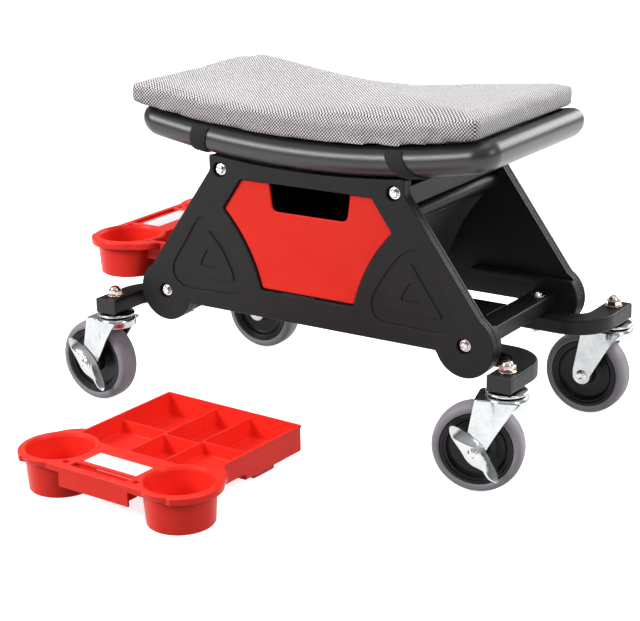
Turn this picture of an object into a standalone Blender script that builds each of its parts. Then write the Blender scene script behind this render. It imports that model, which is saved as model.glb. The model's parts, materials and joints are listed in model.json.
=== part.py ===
"""A mechanic's creeper seat: a rolling stool with a drawer and two trays.

All lengths are in metres.  X runs along the seat, Y across it, Z is up.
The front is the side at -Y.  The stool is modelled around its own middle,
one tray is pushed in at its left end, and the other stands on the floor in
front of it.  At the end everything is moved so that the origin lies on the
floor, under the middle of the whole set.
"""
import math

import bmesh
import bpy
from mathutils import Matrix, Vector

# --- driving dimensions -------------------------------------------------
GAP = 0.0003                     # clearance between pieces that touch

# Seat: a pan that is curved like a saddle, with a rolled rim
SEAT_HALF_LENGTH = 0.234
SEAT_HALF_WIDTH = 0.120
SEAT_CORNER = 0.026
SEAT_LOW = 0.3312                # height of the rim's centre at the middle
SEAT_CURVE = 1.15                # radius of the saddle, seen from the side
RIM_RADIUS = 0.017
PAN_SHIFT = 0.0035                # how far the pan's ends lie towards +X
CUSHION_HALF_LENGTH = 0.2255
CUSHION_HALF_WIDTH = 0.1160
CUSHION_CORNER = 0.012
CUSHION_SHIFT = -0.0045           # how far the cushion's ends lie towards -X
CUSHION_THICK = 0.0250
STRAP_AT = 0.1427                # the straps' middle, along the seat
STRAP_WIDTH = 0.022
STRAP_THICK = 0.0018

# Side panels: an outer cover on an inner panel
PANEL_FACE = 0.1125              # the covers' outer face, from the middle
COVER_THICK = 0.0048
PANEL_THICK = 0.0145             # cover and inner panel together
PANEL_TOP = 0.3130               # top edge at the middle
PANEL_BOTTOM = 0.1355
CORNER_X = 0.1303                # the top corners
SHOULDER_Z = 0.3020
LOBE_X = 0.2030                  # the round feet that hold the cross tubes
LOBE_Z = 0.1460
LOBE_RADIUS = 0.0360
LOBE_MEETS = (0.2215, 0.1770)    # where the sloping edge runs into the lobe
BOSS_THICK = 0.0215              # panel and boss together, at a lobe
LEDGE_TOP = 0.1688               # what the trays slide on
LEDGE_THICK = 0.0060
LEDGE_WIDTH = 0.0110
LEDGE_INNER_END = 0.1000
TOP_BOLT = (0.1160, 0.3035)
POCKET_RADIUS = 0.0108

# Window in each side panel, which the drawer fills and slides through
WINDOW_TOP = 0.2955
WINDOW_BOTTOM = 0.1693
WINDOW_HALF_TOP = 0.0875
WINDOW_SHOULDER = (0.1135, 0.2585)
WINDOW_HALF_BOTTOM = 0.0625
WINDOW_BOW = 0.0070              # how far its lower sides bow inwards
DRAWER_CLEARANCE = 0.0007
DRAWER_RECESS = 0.0022           # the drawer's ends lie this far in
DRAWER_WALL = 0.0030
NOTCH_HALF = 0.0500
NOTCH_DEPTH = 0.0310

# Undercarriage
TUBE_WALL = 0.0020
CROSS_TUBE_X = (0.1830, 0.2120)
CROSS_TUBE_Z = (0.1355, 0.1535)
RAIL_HALF_WIDTH = 0.0250
STAY_HALF = 0.0120
STAY_Z = 0.2990
STAY_ROD = (0.1240, 0.2770, 0.0085)
ARM_Z = (0.1172, 0.1352)
ARM_HALF_WIDTH = 0.0145
ARM_START_X = 0.1860
ARM_Y = 0.0675
ARM_BEND_X = 0.2320
ARM_BEND = 0.0340
ARM_END_Y = 0.1470
CAP_THICK = 0.0030
CAP_PLUG = 0.0080

# Casters
STEM_X = 0.2660
STEM_Y = 0.1314
STEM_RADIUS = 0.0060
TRAIL = 0.0300
WHEEL_RADIUS = 0.0500
CORE_RADIUS = 0.0390
TYRE_HALF_WIDTH = 0.0140
HUB_HALF_WIDTH = 0.0165
AXLE_RADIUS = 0.0040
FORK_INNER = 0.0172
FORK_SHEET = 0.0026
CROWN_RADIUS = 0.0240
CROWN_TOP = 0.1106
CROWN_SHEET = 0.0045
FORK_FLAT_END = 0.0335            # how far the crown's flat reaches, above the wheel
PLATE_RADIUS = 0.0225
PLATE_BOTTOM = 0.1123
PEDAL_HALF_LENGTH = 0.0380
PEDAL_TILT = 40.0                # degrees, its tail down at the back
WHEEL_STEPS = 24

# Each caster: its place, the way it trails in degrees, and its brake
CASTERS = (
    ("front_left", -1, -1, 179.5, True),
    ("front_right", 1, -1, 197.2, True),
    ("rear_right", 1, 1, 182.5, False),
    ("rear_left", -1, 1, 2.0, False),
)

# Trays, about the middle of the line between their two cups
TRAY_HEIGHT = 0.0460
TRAY_HALF_WIDTH = 0.0973
TRAY_BACK = 0.1940
TRAY_FLOOR = 0.0148              # underside of the body, above the cups' feet
TRAY_WALL = 0.0024
CUP_SPACING = 0.0845             # half the distance between the cups
CUP_BORE = 0.0368
CUP_BORE_FOOT = 0.0338
CUP_LIP = 0.0464
CUP_TOP = 0.0392
CUP_FOOT = 0.0362
LIP_HEIGHT = 0.0090
DECK_FRONT = -0.0400
NECK_Y = 0.0560                   # where the rim around the cups meets the body's sides
DIVIDER_X = 0.0250
DIVIDER_TOP = 0.0390
CROSS_WALL_Y = 0.1080
BODY_FRONT = 0.0300
ARCH = (0.0270, 0.0940)          # the arches over the ledges' bosses
ARCH_TOP = 0.0224
FOOT_X = (0.0640, 0.0805)
FOOT_Y = (0.1270, 0.1640)
SLOT_HALF = 0.0400
SLOT_Y = (-0.0325, -0.0215)
PEN_HOLE = (0.0495, -0.0270, 0.0045)
SKIRT_X = (-0.0505, 0.0475)
SKIRT_BOTTOM = 0.0210
TRAY_IN_X = -0.2780              # the cups' line of the tray in the stool
LOOSE_TRAY = (-0.0680, -0.3690, -2.4)   # x, y and turn in degrees

RED = (0.855, 0.045, 0.032, 1.0)
BLACK = (0.028, 0.028, 0.030, 1.0)
SATIN = (0.020, 0.020, 0.021, 1.0)
ZINC = (0.78, 0.79, 0.80, 1.0)
GREY_RUBBER = (0.23, 0.21, 0.24, 1.0)
TWEED = (0.46, 0.45, 0.46, 1.0)

for leftover in list(bpy.data.objects):
    bpy.data.objects.remove(leftover)


# --- materials ----------------------------------------------------------
def material(name, colour, roughness, metallic=0.0):
    made = bpy.data.materials.new(name)
    made.use_nodes = True
    shader = made.node_tree.nodes["Principled BSDF"]
    shader.inputs["Base Color"].default_value = colour
    shader.inputs["Roughness"].default_value = roughness
    shader.inputs["Metallic"].default_value = metallic
    return made


RED_PLASTIC = material("red_plastic", RED, 0.35)
BLACK_PLASTIC = material("black_plastic", BLACK, 0.55)
RIM_PLASTIC = material("rim_plastic", SATIN, 0.38)
BLACK_STEEL = material("black_steel", SATIN, 0.42, 0.3)
ZINC_STEEL = material("zinc_steel", ZINC, 0.28, 1.0)
TYRE_RUBBER = material("tyre_rubber", GREY_RUBBER, 0.6)
FABRIC = material("fabric", TWEED, 0.9)
ELASTIC = material("elastic", SATIN, 0.85)


# --- mesh helpers -------------------------------------------------------
def mesh_of(points, faces):
    """A mesh with its faces turned outwards."""
    work = bmesh.new()
    corners = [work.verts.new(point) for point in points]
    for face in faces:
        work.faces.new([corners[index] for index in face])
    bmesh.ops.recalc_face_normals(work, faces=work.faces)
    made = bpy.data.meshes.new("shape")
    work.to_mesh(made)
    work.free()
    return made


def prism(outline, low, high, axis="Z"):
    """An outline pushed along an axis; for "Y" the outline is (x, z)."""
    count = len(outline)
    points = []
    for level in (low, high):
        for first, second in outline:
            if axis == "Z":
                points.append((first, second, level))
            elif axis == "Y":
                points.append((first, level, second))
            else:
                points.append((level, first, second))
    faces = [list(range(count)), list(range(count, 2 * count))]
    for index in range(count):
        after = (index + 1) % count
        faces.append([index, after, count + after, count + index])
    return mesh_of(points, faces)


def block(x_span, y_span, z_span):
    outline = [(x_span[0], y_span[0]), (x_span[1], y_span[0]),
               (x_span[1], y_span[1]), (x_span[0], y_span[1])]
    return prism(outline, z_span[0], z_span[1])


def turned(profile, steps, axis="Z", phase=0.0):
    """A profile of (radius, height) turned about an axis.

    A profile that starts and ends on the axis makes a solid; any other
    profile is joined up into a ring.
    """
    points = []
    rings = []
    for radius, height in profile:
        if radius == 0.0:
            points.append((0.0, 0.0, height))
            rings.append([len(points) - 1] * steps)
            continue
        ring = []
        for step in range(steps):
            angle = phase + 2.0 * math.pi * step / steps
            points.append((radius * math.cos(angle), radius * math.sin(angle), height))
            ring.append(len(points) - 1)
        rings.append(ring)
    pairs = list(zip(rings, rings[1:]))
    if profile[0][0] != 0.0:
        pairs.append((rings[-1], rings[0]))
    faces = []
    for first, second in pairs:
        for step in range(steps):
            after = (step + 1) % steps
            corners = [first[step], first[after], second[after], second[step]]
            corners = list(dict.fromkeys(corners))
            if len(corners) > 2:
                faces.append(corners)
    made = mesh_of(points, faces)
    if axis == "Y":
        made.transform(Matrix.Rotation(math.radians(-90.0), 4, "X"))
        made.update()
    return made


def cylinder(radius, low, high, steps=24, axis="Z"):
    return turned([(0.0, low), (radius, low), (radius, high), (0.0, high)], steps, axis)


def moved(mesh, x=0.0, y=0.0, z=0.0):
    mesh.transform(Matrix.Translation((x, y, z)))
    return mesh


def carved(base, joined=(), cut=()):
    """One solid from a base, the shapes joined to it and those cut from it."""
    target = bpy.data.objects.new("base", base)
    bpy.context.scene.collection.objects.link(target)
    helpers = []
    for operation, shapes in (("UNION", joined), ("DIFFERENCE", cut)):
        for shape in shapes:
            helper = bpy.data.objects.new("helper", shape)
            bpy.context.scene.collection.objects.link(helper)
            helper.hide_render = True
            helper.display_type = "WIRE"
            helpers.append(helper)
            step = target.modifiers.new("step", "BOOLEAN")
            step.operation = operation
            step.solver = "EXACT"
            step.object = helper
    bpy.context.view_layer.update()
    graph = bpy.context.evaluated_depsgraph_get()
    made = bpy.data.meshes.new_from_object(target.evaluated_get(graph))
    for helper in helpers + [target]:
        bpy.data.objects.remove(helper)
    return made


def piece(name, mesh, finish, parent=None, at=(0.0, 0.0, 0.0), smooth=35.0):
    """A named piece of the stool, with its finish."""
    made = bpy.data.objects.new(name, mesh)
    bpy.context.scene.collection.objects.link(made)
    made.location = at
    made.parent = parent or STOOL
    mesh.materials.clear()
    mesh.materials.append(finish)
    mesh.shade_smooth()
    mesh.set_sharp_from_angle(angle=math.radians(smooth))
    return made


def pivot(name, parent, at, turn=0.0):
    """An empty that stands for a joint or a group."""
    made = bpy.data.objects.new(name, None)
    bpy.context.scene.collection.objects.link(made)
    made.parent = parent
    made.location = at
    made.rotation_euler = (0.0, 0.0, math.radians(turn))
    return made


# --- outlines -----------------------------------------------------------
def arc(centre, radius, start, stop, steps):
    """Points along an arc, its angles in degrees."""
    points = []
    for step in range(steps + 1):
        angle = math.radians(start + (stop - start) * step / steps)
        points.append((centre[0] + radius * math.cos(angle),
                       centre[1] + radius * math.sin(angle)))
    return points


def bowed(start, stop, bow, steps):
    """Points between two ends on a curve that bows out to the left."""
    first, last = Vector(start), Vector(stop)
    along = last - first
    side = Vector((-along.y, along.x)).normalized()
    points = []
    for step in range(1, steps):
        share = step / steps
        point = first + along * share + side * (4.0 * bow * share * (1.0 - share))
        points.append(tuple(point))
    return points


def softened(corners, radius, steps=3):
    """An outline with each corner rounded off."""
    count = len(corners)
    points = []
    for index in range(count):
        here = Vector(corners[index])
        before = (Vector(corners[index - 1]) - here).normalized()
        after = (Vector(corners[(index + 1) % count]) - here).normalized()
        half = before.angle(after) / 2.0
        reach = radius / math.tan(half)
        for step in range(steps + 1):
            share = step / steps
            edge = (1.0 - share) ** 2, 2.0 * share * (1.0 - share), share ** 2
            point = (here + before * reach) * edge[0] + here * edge[1]
            point = point + (here + after * reach) * edge[2]
            points.append(tuple(point))
    return points


def mirrored(half):
    """A whole outline from its right half, which runs from top to bottom."""
    left = [(-x, z) for x, z in reversed(half) if x > 1e-6]
    return half + left


def panel_outline(inset=0.0):
    """The side panel's outline, drawn in by an inset."""
    radius = LOBE_RADIUS - inset
    half = []
    steps = 4
    for step in range(steps + 1):
        x = (CORNER_X - inset) * step / steps
        half.append((x, PANEL_TOP - inset + x * x / (2.0 * SEAT_CURVE)))
    half.append((CORNER_X - inset, SHOULDER_Z - inset))
    start = math.degrees(math.atan2(LOBE_MEETS[1] - LOBE_Z, LOBE_MEETS[0] - LOBE_X))
    rise = PANEL_BOTTOM + inset - LOBE_Z
    stop = -180.0 - math.degrees(math.asin(rise / radius))
    half += arc((LOBE_X, LOBE_Z), radius, start, stop, 11)
    half.append((0.0, PANEL_BOTTOM + inset))
    return mirrored(half)


def window_outline(grow=0.0):
    """The window's outline, made larger or smaller."""
    shoulder = (WINDOW_SHOULDER[0] + grow, WINDOW_SHOULDER[1])
    foot = (WINDOW_HALF_BOTTOM + grow, WINDOW_BOTTOM - grow)
    half = [(0.0, WINDOW_TOP + grow), (WINDOW_HALF_TOP + grow, WINDOW_TOP + grow), shoulder]
    half += bowed(shoulder, foot, -WINDOW_BOW, 4)
    half += [foot, (0.0, WINDOW_BOTTOM - grow)]
    return mirrored(half)


# --- seat ---------------------------------------------------------------
def seat_height(x):
    return SEAT_LOW + x * x / (2.0 * SEAT_CURVE)


def seat_loop(half_length, half_width, corner, height, end_shift=0.0):
    """A loop around the seat: its front half, then its back half.  Both ends move by the shift."""
    inner_x, inner_y = half_length - corner, half_width - corner
    front = arc((inner_x, -inner_y), corner, 0.0, -90.0, 3)
    sides = 9
    for step in range(1, sides):
        front.append((inner_x - 2.0 * inner_x * step / sides, -half_width))
    front += arc((-inner_x, -inner_y), corner, -90.0, -180.0, 3)
    back = [(x, -y) for x, y in reversed(front)]
    loop = [(x + end_shift * (x / half_length) ** 2, y) for x, y in front + back]
    return [(x, y, seat_height(x) + height) for x, y in loop]


def seat_solid(levels):
    """A solid from loops: the first and the last are filled in."""
    points = []
    faces = []
    count = len(levels[0])
    for loop in levels:
        points += loop
    for level in range(len(levels) - 1):
        for index in range(count):
            after = (index + 1) % count
            low, high = level * count, (level + 1) * count
            faces.append([low + index, low + after, high + after, high + index])
    for level in (0, len(levels) - 1):
        start = level * count
        for index in range(count // 2 - 1):
            faces.append([start + index, start + index + 1,
                          start + count - 2 - index, start + count - 1 - index])
    return mesh_of(points, faces)


def seat_pan():
    """The pan: a plate with a rolled rim, its rim's section a closed curve."""
    plate_top, plate_under = 0.0125, 0.0085
    section = [(0.045, plate_top), (0.030, plate_top)]
    for step in range(7):
        angle = math.radians(60.0 + 35.0 * step)
        section.append((RIM_RADIUS - RIM_RADIUS * math.cos(math.pi - angle),
                        RIM_RADIUS * math.sin(angle)))
    section += [(0.0330, plate_under), (0.045, plate_under)]
    levels = []
    for inset, height in section:
        corner = max(SEAT_CORNER - inset, 0.0015)
        levels.append(seat_loop(SEAT_HALF_LENGTH - inset, SEAT_HALF_WIDTH - inset,
                                corner, height, PAN_SHIFT))
    piece("seat_pan", seat_solid(levels), RIM_PLASTIC)


def seat_cushion():
    bottom = RIM_RADIUS + GAP
    levels = []
    for inset, height in ((0.004, 0.0), (0.0, 0.004), (0.0, CUSHION_THICK - 0.004),
                          (0.004, CUSHION_THICK)):
        levels.append(seat_loop(CUSHION_HALF_LENGTH - inset, CUSHION_HALF_WIDTH - inset,
                                CUSHION_CORNER - inset, bottom + height, CUSHION_SHIFT))
    piece("seat_cushion", seat_solid(levels), FABRIC)


def seat_strap(name, side):
    """A strap that hugs the rim and runs across under the pan."""
    middle = seat_height(STRAP_AT)
    rim_y = SEAT_HALF_WIDTH - RIM_RADIUS
    inner = RIM_RADIUS + GAP + 0.0003
    lower = []
    upper = []
    for step in range(8):
        angle = math.radians(47.0 + 133.0 * step / 7)
        for loop, radius in ((upper, inner), (lower, inner + STRAP_THICK)):
            loop.append((-rim_y - radius * math.sin(angle),
                         middle + radius * math.cos(angle)))
    outer = lower + [(-y, z) for y, z in reversed(lower)]
    inside = upper + [(-y, z) for y, z in reversed(upper)]
    outline = outer + list(reversed(inside))
    low = side * STRAP_AT - STRAP_WIDTH / 2.0
    band = prism(outline, low, low + STRAP_WIDTH, "X")
    for vertex in band.vertices:
        vertex.co.z += seat_height(vertex.co.x) - middle
    piece(name, band, ELASTIC)


# --- side panels and drawer ---------------------------------------------
def bolt_places():
    """Where the bolts go through a panel, with their names."""
    return (("top_left", -TOP_BOLT[0], TOP_BOLT[1]), ("top_right", TOP_BOLT[0], TOP_BOLT[1]),
            ("foot_left", -LOBE_X, LOBE_Z), ("foot_right", LOBE_X, LOBE_Z))


def lobe_boss(side_x, low, high):
    """The inner half of a lobe, cut level on top where a tray slides."""
    rise = LEDGE_TOP - LOBE_Z
    angle = math.degrees(math.asin(rise / LOBE_RADIUS))
    outline = arc((side_x * LOBE_X, LOBE_Z), LOBE_RADIUS - 0.0006, 180.0 - angle,
                  360.0 + angle, 12)
    return prism(outline, low, high, "Y")


def side_panels(name, side):
    """One side's cover, inner panel and four bolts."""
    outer, joint_plane = side * PANEL_FACE, side * (PANEL_FACE - COVER_THICK)
    inner_outer, inner_face = joint_plane - side * GAP, side * (PANEL_FACE - PANEL_THICK)
    boss_face = side * (PANEL_FACE - BOSS_THICK)
    beyond = 0.004 * side

    def through(outline):
        span = sorted((outer + beyond, boss_face - beyond))
        return prism(outline, span[0], span[1], "Y")

    def hole(x, z, radius):
        return through(arc((x, z), radius, 0.0, 337.5, 15))

    cover = prism(panel_outline(), min(outer, joint_plane), max(outer, joint_plane), "Y")
    cuts = [through(window_outline())] + [hole(x, z, POCKET_RADIUS) for _, x, z in bolt_places()]
    piece(name + "_cover", carved(cover, cut=cuts), BLACK_PLASTIC)

    span = sorted((inner_outer, inner_face))
    panel = prism(panel_outline(0.0006), span[0], span[1], "Y")
    overlap = side * 0.001
    joined = []
    for side_x in (-1, 1):
        boss = sorted((inner_face + overlap, boss_face))
        joined.append(lobe_boss(side_x, boss[0], boss[1]))
        ledge_x = sorted((side_x * LEDGE_INNER_END, side_x * (LOBE_X - 0.020)))
        ledge_y = sorted((inner_face + overlap, inner_face - side * LEDGE_WIDTH))
        joined.append(block(ledge_x, ledge_y, (LEDGE_TOP - LEDGE_THICK, LEDGE_TOP - 0.0002)))
    cuts = [through(window_outline())] + [hole(x, z, 0.0044) for _, x, z in bolt_places()]
    piece(name + "_inner_panel", carved(panel, joined, cuts), BLACK_PLASTIC)

    for place, x, z in bolt_places():
        depth = BOSS_THICK if place.startswith("foot") else PANEL_THICK
        bolt = panel_bolt(depth - COVER_THICK + 0.009)
        if side > 0:
            bolt.transform(Matrix.Rotation(math.pi, 4, "Z"))
        piece(name + "_bolt_" + place, bolt, ZINC_STEEL, at=(x, joint_plane, z))


def panel_bolt(length):
    """A bolt with its washer; its head faces -Y and the washer's back is at 0."""
    profile = [(0.0, -0.0058), (0.0040, -0.0058), (0.0058, -0.0042), (0.0058, -0.0018),
               (0.0092, -0.0018), (0.0092, -0.0001), (0.0040, -0.0001),
               (0.0040, length), (0.0, length)]
    bolt = turned(profile, 12)
    bolt.transform(Matrix.Rotation(math.radians(-90.0), 4, "X"))
    return bolt


def drawer():
    """The drawer: a trough with the window's outline, open on top."""
    slim = -DRAWER_CLEARANCE
    end = PANEL_FACE - DRAWER_RECESS
    body = prism(window_outline(slim), -end, end, "Y")
    inside = window_outline(slim - DRAWER_WALL)
    inside = [(x, z + 0.02 if z > WINDOW_TOP - 0.02 else z) for x, z in inside]
    hollow = prism(inside, -end + DRAWER_WALL, end - DRAWER_WALL, "Y")
    mouth = block((-WINDOW_HALF_TOP + 0.004, WINDOW_HALF_TOP - 0.004),
                  (-end + DRAWER_WALL, end - DRAWER_WALL),
                  (WINDOW_TOP - 0.012, WINDOW_TOP + 0.03))
    top = WINDOW_TOP - DRAWER_CLEARANCE
    notch = softened([(-NOTCH_HALF, top + 0.03), (-NOTCH_HALF + 0.003, top - NOTCH_DEPTH),
                      (NOTCH_HALF - 0.003, top - NOTCH_DEPTH), (NOTCH_HALF, top + 0.03)],
                     0.007)
    handle = prism(notch, -end - 0.01, -end + 0.01, "Y")
    pivot_at = pivot("drawer_slide", STOOL, (0.0, 0.0, 0.0))
    piece("drawer", carved(body, cut=[hollow, mouth, handle]), RED_PLASTIC, pivot_at)


# --- undercarriage ------------------------------------------------------
def square_tube(x_span, y_span, z_span, along):
    """A square tube open at both ends, along X or Y."""
    wall = TUBE_WALL
    body = block(x_span, y_span, z_span)
    if along == "Y":
        bore = block((x_span[0] + wall, x_span[1] - wall), (y_span[0] - 0.01, y_span[1] + 0.01),
                     (z_span[0] + wall, z_span[1] - wall))
    else:
        bore = block((x_span[0] - 0.01, x_span[1] + 0.01), (y_span[0] + wall, y_span[1] - wall),
                     (z_span[0] + wall, z_span[1] - wall))
    return carved(body, cut=[bore])


def frame_tubes():
    """Cross tubes at the feet, stays under the seat and the middle rail."""
    foot_end = PANEL_FACE - BOSS_THICK - GAP
    top_end = PANEL_FACE - PANEL_THICK - GAP
    for name, side in (("left", -1), ("right", 1)):
        x_span = sorted(side * x for x in CROSS_TUBE_X)
        piece(name + "_cross_tube", square_tube(x_span, (-foot_end, foot_end), CROSS_TUBE_Z, "Y"),
              BLACK_STEEL)
        middle = side * TOP_BOLT[0]
        piece(name + "_stay_tube",
              square_tube((middle - STAY_HALF, middle + STAY_HALF), (-top_end, top_end),
                          (STAY_Z - STAY_HALF, STAY_Z + STAY_HALF), "Y"), BLACK_STEEL)
        rod = cylinder(STAY_ROD[2], -top_end, top_end, 20, "Y")
        piece(name + "_stay_rod", rod, BLACK_STEEL, at=(side * STAY_ROD[0], 0.0, STAY_ROD[1]))
    reach = CROSS_TUBE_X[0] - GAP
    piece("middle_rail", square_tube((-reach, reach), (-RAIL_HALF_WIDTH, RAIL_HALF_WIDTH),
                                     CROSS_TUBE_Z, "X"), BLACK_STEEL)


def arm(name, side_x, side_y):
    """A bent tube from under a cross tube out to a caster, with its end cap."""
    path = [(ARM_START_X, ARM_Y), (ARM_BEND_X, ARM_Y)]
    path += arc((ARM_BEND_X, ARM_Y + ARM_BEND), ARM_BEND, -90.0, 0.0, 6)[1:]
    path.append((ARM_BEND_X + ARM_BEND, ARM_END_Y))
    headings = []
    for index in range(len(path)):
        before = Vector(path[max(index - 1, 0)])
        after = Vector(path[min(index + 1, len(path) - 1)])
        headings.append((after - before).normalized())
    headings[1] = (headings[0] + headings[1]).normalized()
    low, high = ARM_Z
    points = []
    for wall in (0.0, TUBE_WALL):
        for spot, heading in zip(path, headings):
            out = Vector((heading.y, -heading.x)) * (ARM_HALF_WIDTH - wall)
            for sign, z in ((1, low + wall), (1, high - wall), (-1, high - wall), (-1, low + wall)):
                points.append((side_x * (spot[0] + sign * out.x),
                               side_y * (spot[1] + sign * out.y), z))
    rings = len(path)
    faces = []
    for shell in range(2):
        base = shell * rings * 4
        for ring in range(rings - 1):
            for corner in range(4):
                after = (corner + 1) % 4
                first, second = base + ring * 4, base + (ring + 1) * 4
                faces.append([first + corner, first + after, second + after, second + corner])
    for ring in (0, rings - 1):
        for corner in range(4):
            after = (corner + 1) % 4
            outer, inner = ring * 4, (rings + ring) * 4
            faces.append([outer + corner, outer + after, inner + after, inner + corner])
    hole = moved(cylinder(STEM_RADIUS + GAP, low - 0.01, high + 0.01, 12),
                 side_x * STEM_X, side_y * STEM_Y)
    piece(name + "_arm", carved(mesh_of(points, faces), cut=[hole]), BLACK_STEEL)

    x_mid, end = side_x * STEM_X, side_y * (ARM_END_Y + GAP)
    plate = block((x_mid - ARM_HALF_WIDTH, x_mid + ARM_HALF_WIDTH),
                  sorted((end, end + side_y * CAP_THICK)), ARM_Z)
    slim = TUBE_WALL + GAP
    plug = block((x_mid - ARM_HALF_WIDTH + slim, x_mid + ARM_HALF_WIDTH - slim),
                 sorted((end + side_y * 0.001, end - side_y * CAP_PLUG)),
                 (low + slim, high - slim))
    piece(name + "_arm_cap", carved(plate, [plug]), BLACK_PLASTIC)


# --- casters ------------------------------------------------------------
def fork_mesh():
    """A pressed fork: a dished crown with two legs down to the axle."""
    crown = turned([(0.0074, CROWN_TOP - CROWN_SHEET), (CROWN_RADIUS, CROWN_TOP - CROWN_SHEET),
                    (CROWN_RADIUS, CROWN_TOP), (0.0074, CROWN_TOP)], 20)
    crown_low = CROWN_TOP - CROWN_SHEET
    eye = arc((TRAIL, WHEEL_RADIUS), 0.0110, -160.0, 35.0, 5)
    leg_outline = [(-0.0165, crown_low + 0.002), (-0.0150, crown_low - 0.010)] + eye
    leg_outline += [(0.0350, crown_low - 0.020), (0.0315, crown_low + 0.002)]
    legs = []
    outer = FORK_INNER + FORK_SHEET
    for side in (-1, 1):
        span = sorted((side * FORK_INNER, side * outer))
        legs.append(prism(leg_outline, span[0], span[1], "Y"))
    flat = block((0.0, FORK_FLAT_END), (-outer, outer), (crown_low + 0.0005, crown_low + 0.0035))
    bore = moved(cylinder(AXLE_RADIUS + GAP, -0.03, 0.03, 12, "Y"), TRAIL, 0.0, WHEEL_RADIUS)
    return carved(crown, legs + [flat], [bore])


def wheel_profile():
    """The core's half section, from its bore out and back."""
    bore = AXLE_RADIUS + GAP
    side, web, rim = HUB_HALF_WIDTH, 0.0060, TYRE_HALF_WIDTH - 0.0020
    return [(bore, side), (0.0120, side), (0.0130, web), (0.0345, rim),
            (CORE_RADIUS, rim), (CORE_RADIUS, -rim), (0.0345, -rim),
            (0.0130, -web), (0.0120, -side), (bore, -side)]


def tyre_profile():
    """The tyre's section, so that its flats touch the floor."""
    inner = CORE_RADIUS + GAP
    tread = WHEEL_RADIUS / math.cos(math.pi / WHEEL_STEPS)
    half = TYRE_HALF_WIDTH
    return [(inner, half), (tread - 0.0045, half), (tread, half - 0.0055),
            (tread, -half + 0.0055), (tread - 0.0045, -half), (inner, -half)]


def pedal_mesh():
    """A brake pedal: a pressed plate with two lobes, its tips turned out."""
    half, waist, lobe = PEDAL_HALF_LENGTH, 0.0095, 0.0075
    outline = arc((half - lobe, 0.0), lobe, -80.0, 80.0, 5)
    outline += arc((0.0, 0.0), waist, 45.0, 135.0, 4)
    outline += arc((-half + lobe, 0.0), lobe, 100.0, 260.0, 5)
    outline += arc((0.0, 0.0), waist, 225.0, 315.0, 4)
    plate = prism(outline, 0.0, 0.0020, "Y")
    tips = []
    for side in (-1, 1):
        tip = block(sorted((side * (half - 0.0105), side * (half - 0.0005))),
                    (-0.0055, 0.0010), (-0.0046, 0.0046))
        tips.append(tip)
    return carved(plate, tips, [cylinder(AXLE_RADIUS + GAP, -0.02, 0.02, 12, "Y")])


def caster(name, side_x, side_y, trail, braked):
    """A caster that swivels on its stem, with its wheel on its axle."""
    at = (side_x * STEM_X, side_y * STEM_Y, 0.0)
    plate = [(0.0, PLATE_BOTTOM), (PLATE_RADIUS, PLATE_BOTTOM),
             (PLATE_RADIUS, ARM_Z[0] - 0.0015), (PLATE_RADIUS - 0.0060, ARM_Z[0] - GAP),
             (STEM_RADIUS, ARM_Z[0] - GAP), (STEM_RADIUS, 0.1440), (0.0, 0.1440)]
    piece(name + "_swivel_plate", turned(plate, 18), ZINC_STEEL, at=at)
    nut_low = ARM_Z[1] + GAP
    bore = STEM_RADIUS + GAP
    nut = [(bore, nut_low), (0.0102, nut_low), (0.0102, nut_low + 0.0015), (0.0088, nut_low + 0.0015),
           (0.0088, nut_low + 0.0100), (0.0066, nut_low + 0.0145), (0.0, nut_low + 0.0155),
           (0.0, 0.1443), (bore, 0.1443)]
    piece(name + "_stem_nut", mesh_of_nut(nut), ZINC_STEEL, at=at)

    swivel = pivot(name + "_swivel", STOOL, at, trail)
    piece(name + "_fork", fork_mesh(), ZINC_STEEL, swivel)
    spin = pivot(name + "_spin", swivel, (TRAIL, 0.0, WHEEL_RADIUS))
    flat_down = math.pi / WHEEL_STEPS
    piece(name + "_wheel_core", turned(wheel_profile(), WHEEL_STEPS, "Y", flat_down),
          BLACK_PLASTIC, spin)
    piece(name + "_tyre", turned(tyre_profile(), WHEEL_STEPS, "Y", flat_down),
          TYRE_RUBBER, spin)
    # The brake and the bolt's head are on the side of the wheel that faces away from the stool.
    outside = 1 if math.cos(math.radians(trail)) < 0.0 else -1
    leg = FORK_INNER + FORK_SHEET + GAP
    brake_room = 0.0026 if braked else 0.0
    head = leg + brake_room
    bolt = [(0.0, -head - 0.0045), (0.0065, -head - 0.0045), (0.0065, -head),
            (AXLE_RADIUS, -head), (AXLE_RADIUS, leg), (0.0065, leg),
            (0.0065, leg + 0.0045), (0.0, leg + 0.0045)]
    axle = turned([(radius, -height * outside) for radius, height in bolt], 12, "Y")
    axle_at = (TRAIL, 0.0, WHEEL_RADIUS)
    piece(name + "_axle", axle, ZINC_STEEL, swivel, axle_at)
    if braked:
        rock = pivot(name + "_brake", swivel, axle_at)
        pedal = pedal_mesh()
        turn = Matrix.Rotation(math.pi, 4, "Z") if outside > 0 else Matrix()
        shift = Matrix.Translation((0.0, outside * (leg + 0.0022), 0.0))
        tilt = Matrix.Rotation(math.radians(-outside * PEDAL_TILT), 4, "Y")
        pedal.transform(shift @ tilt @ turn)
        piece(name + "_brake_pedal", pedal, ZINC_STEEL, rock)


def mesh_of_nut(profile):
    return turned(profile + [profile[0]], 12)


# --- trays --------------------------------------------------------------
def deck_outline():
    """The tray's rim around its cups, from the front to the body's sides."""
    middle = (CUP_SPACING, 0.0)
    front = math.degrees(math.asin(DECK_FRONT / CUP_LIP))
    half = arc(middle, CUP_LIP, front - 8.0, 42.0, 8)
    neck = (TRAY_HALF_WIDTH, NECK_Y)
    start = half[-1]
    half += bowed(start, neck, -0.0030, 4) + [neck]
    right = [(0.0, DECK_FRONT)] + half
    return right + [(-x, y) for x, y in reversed(half)]


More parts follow.
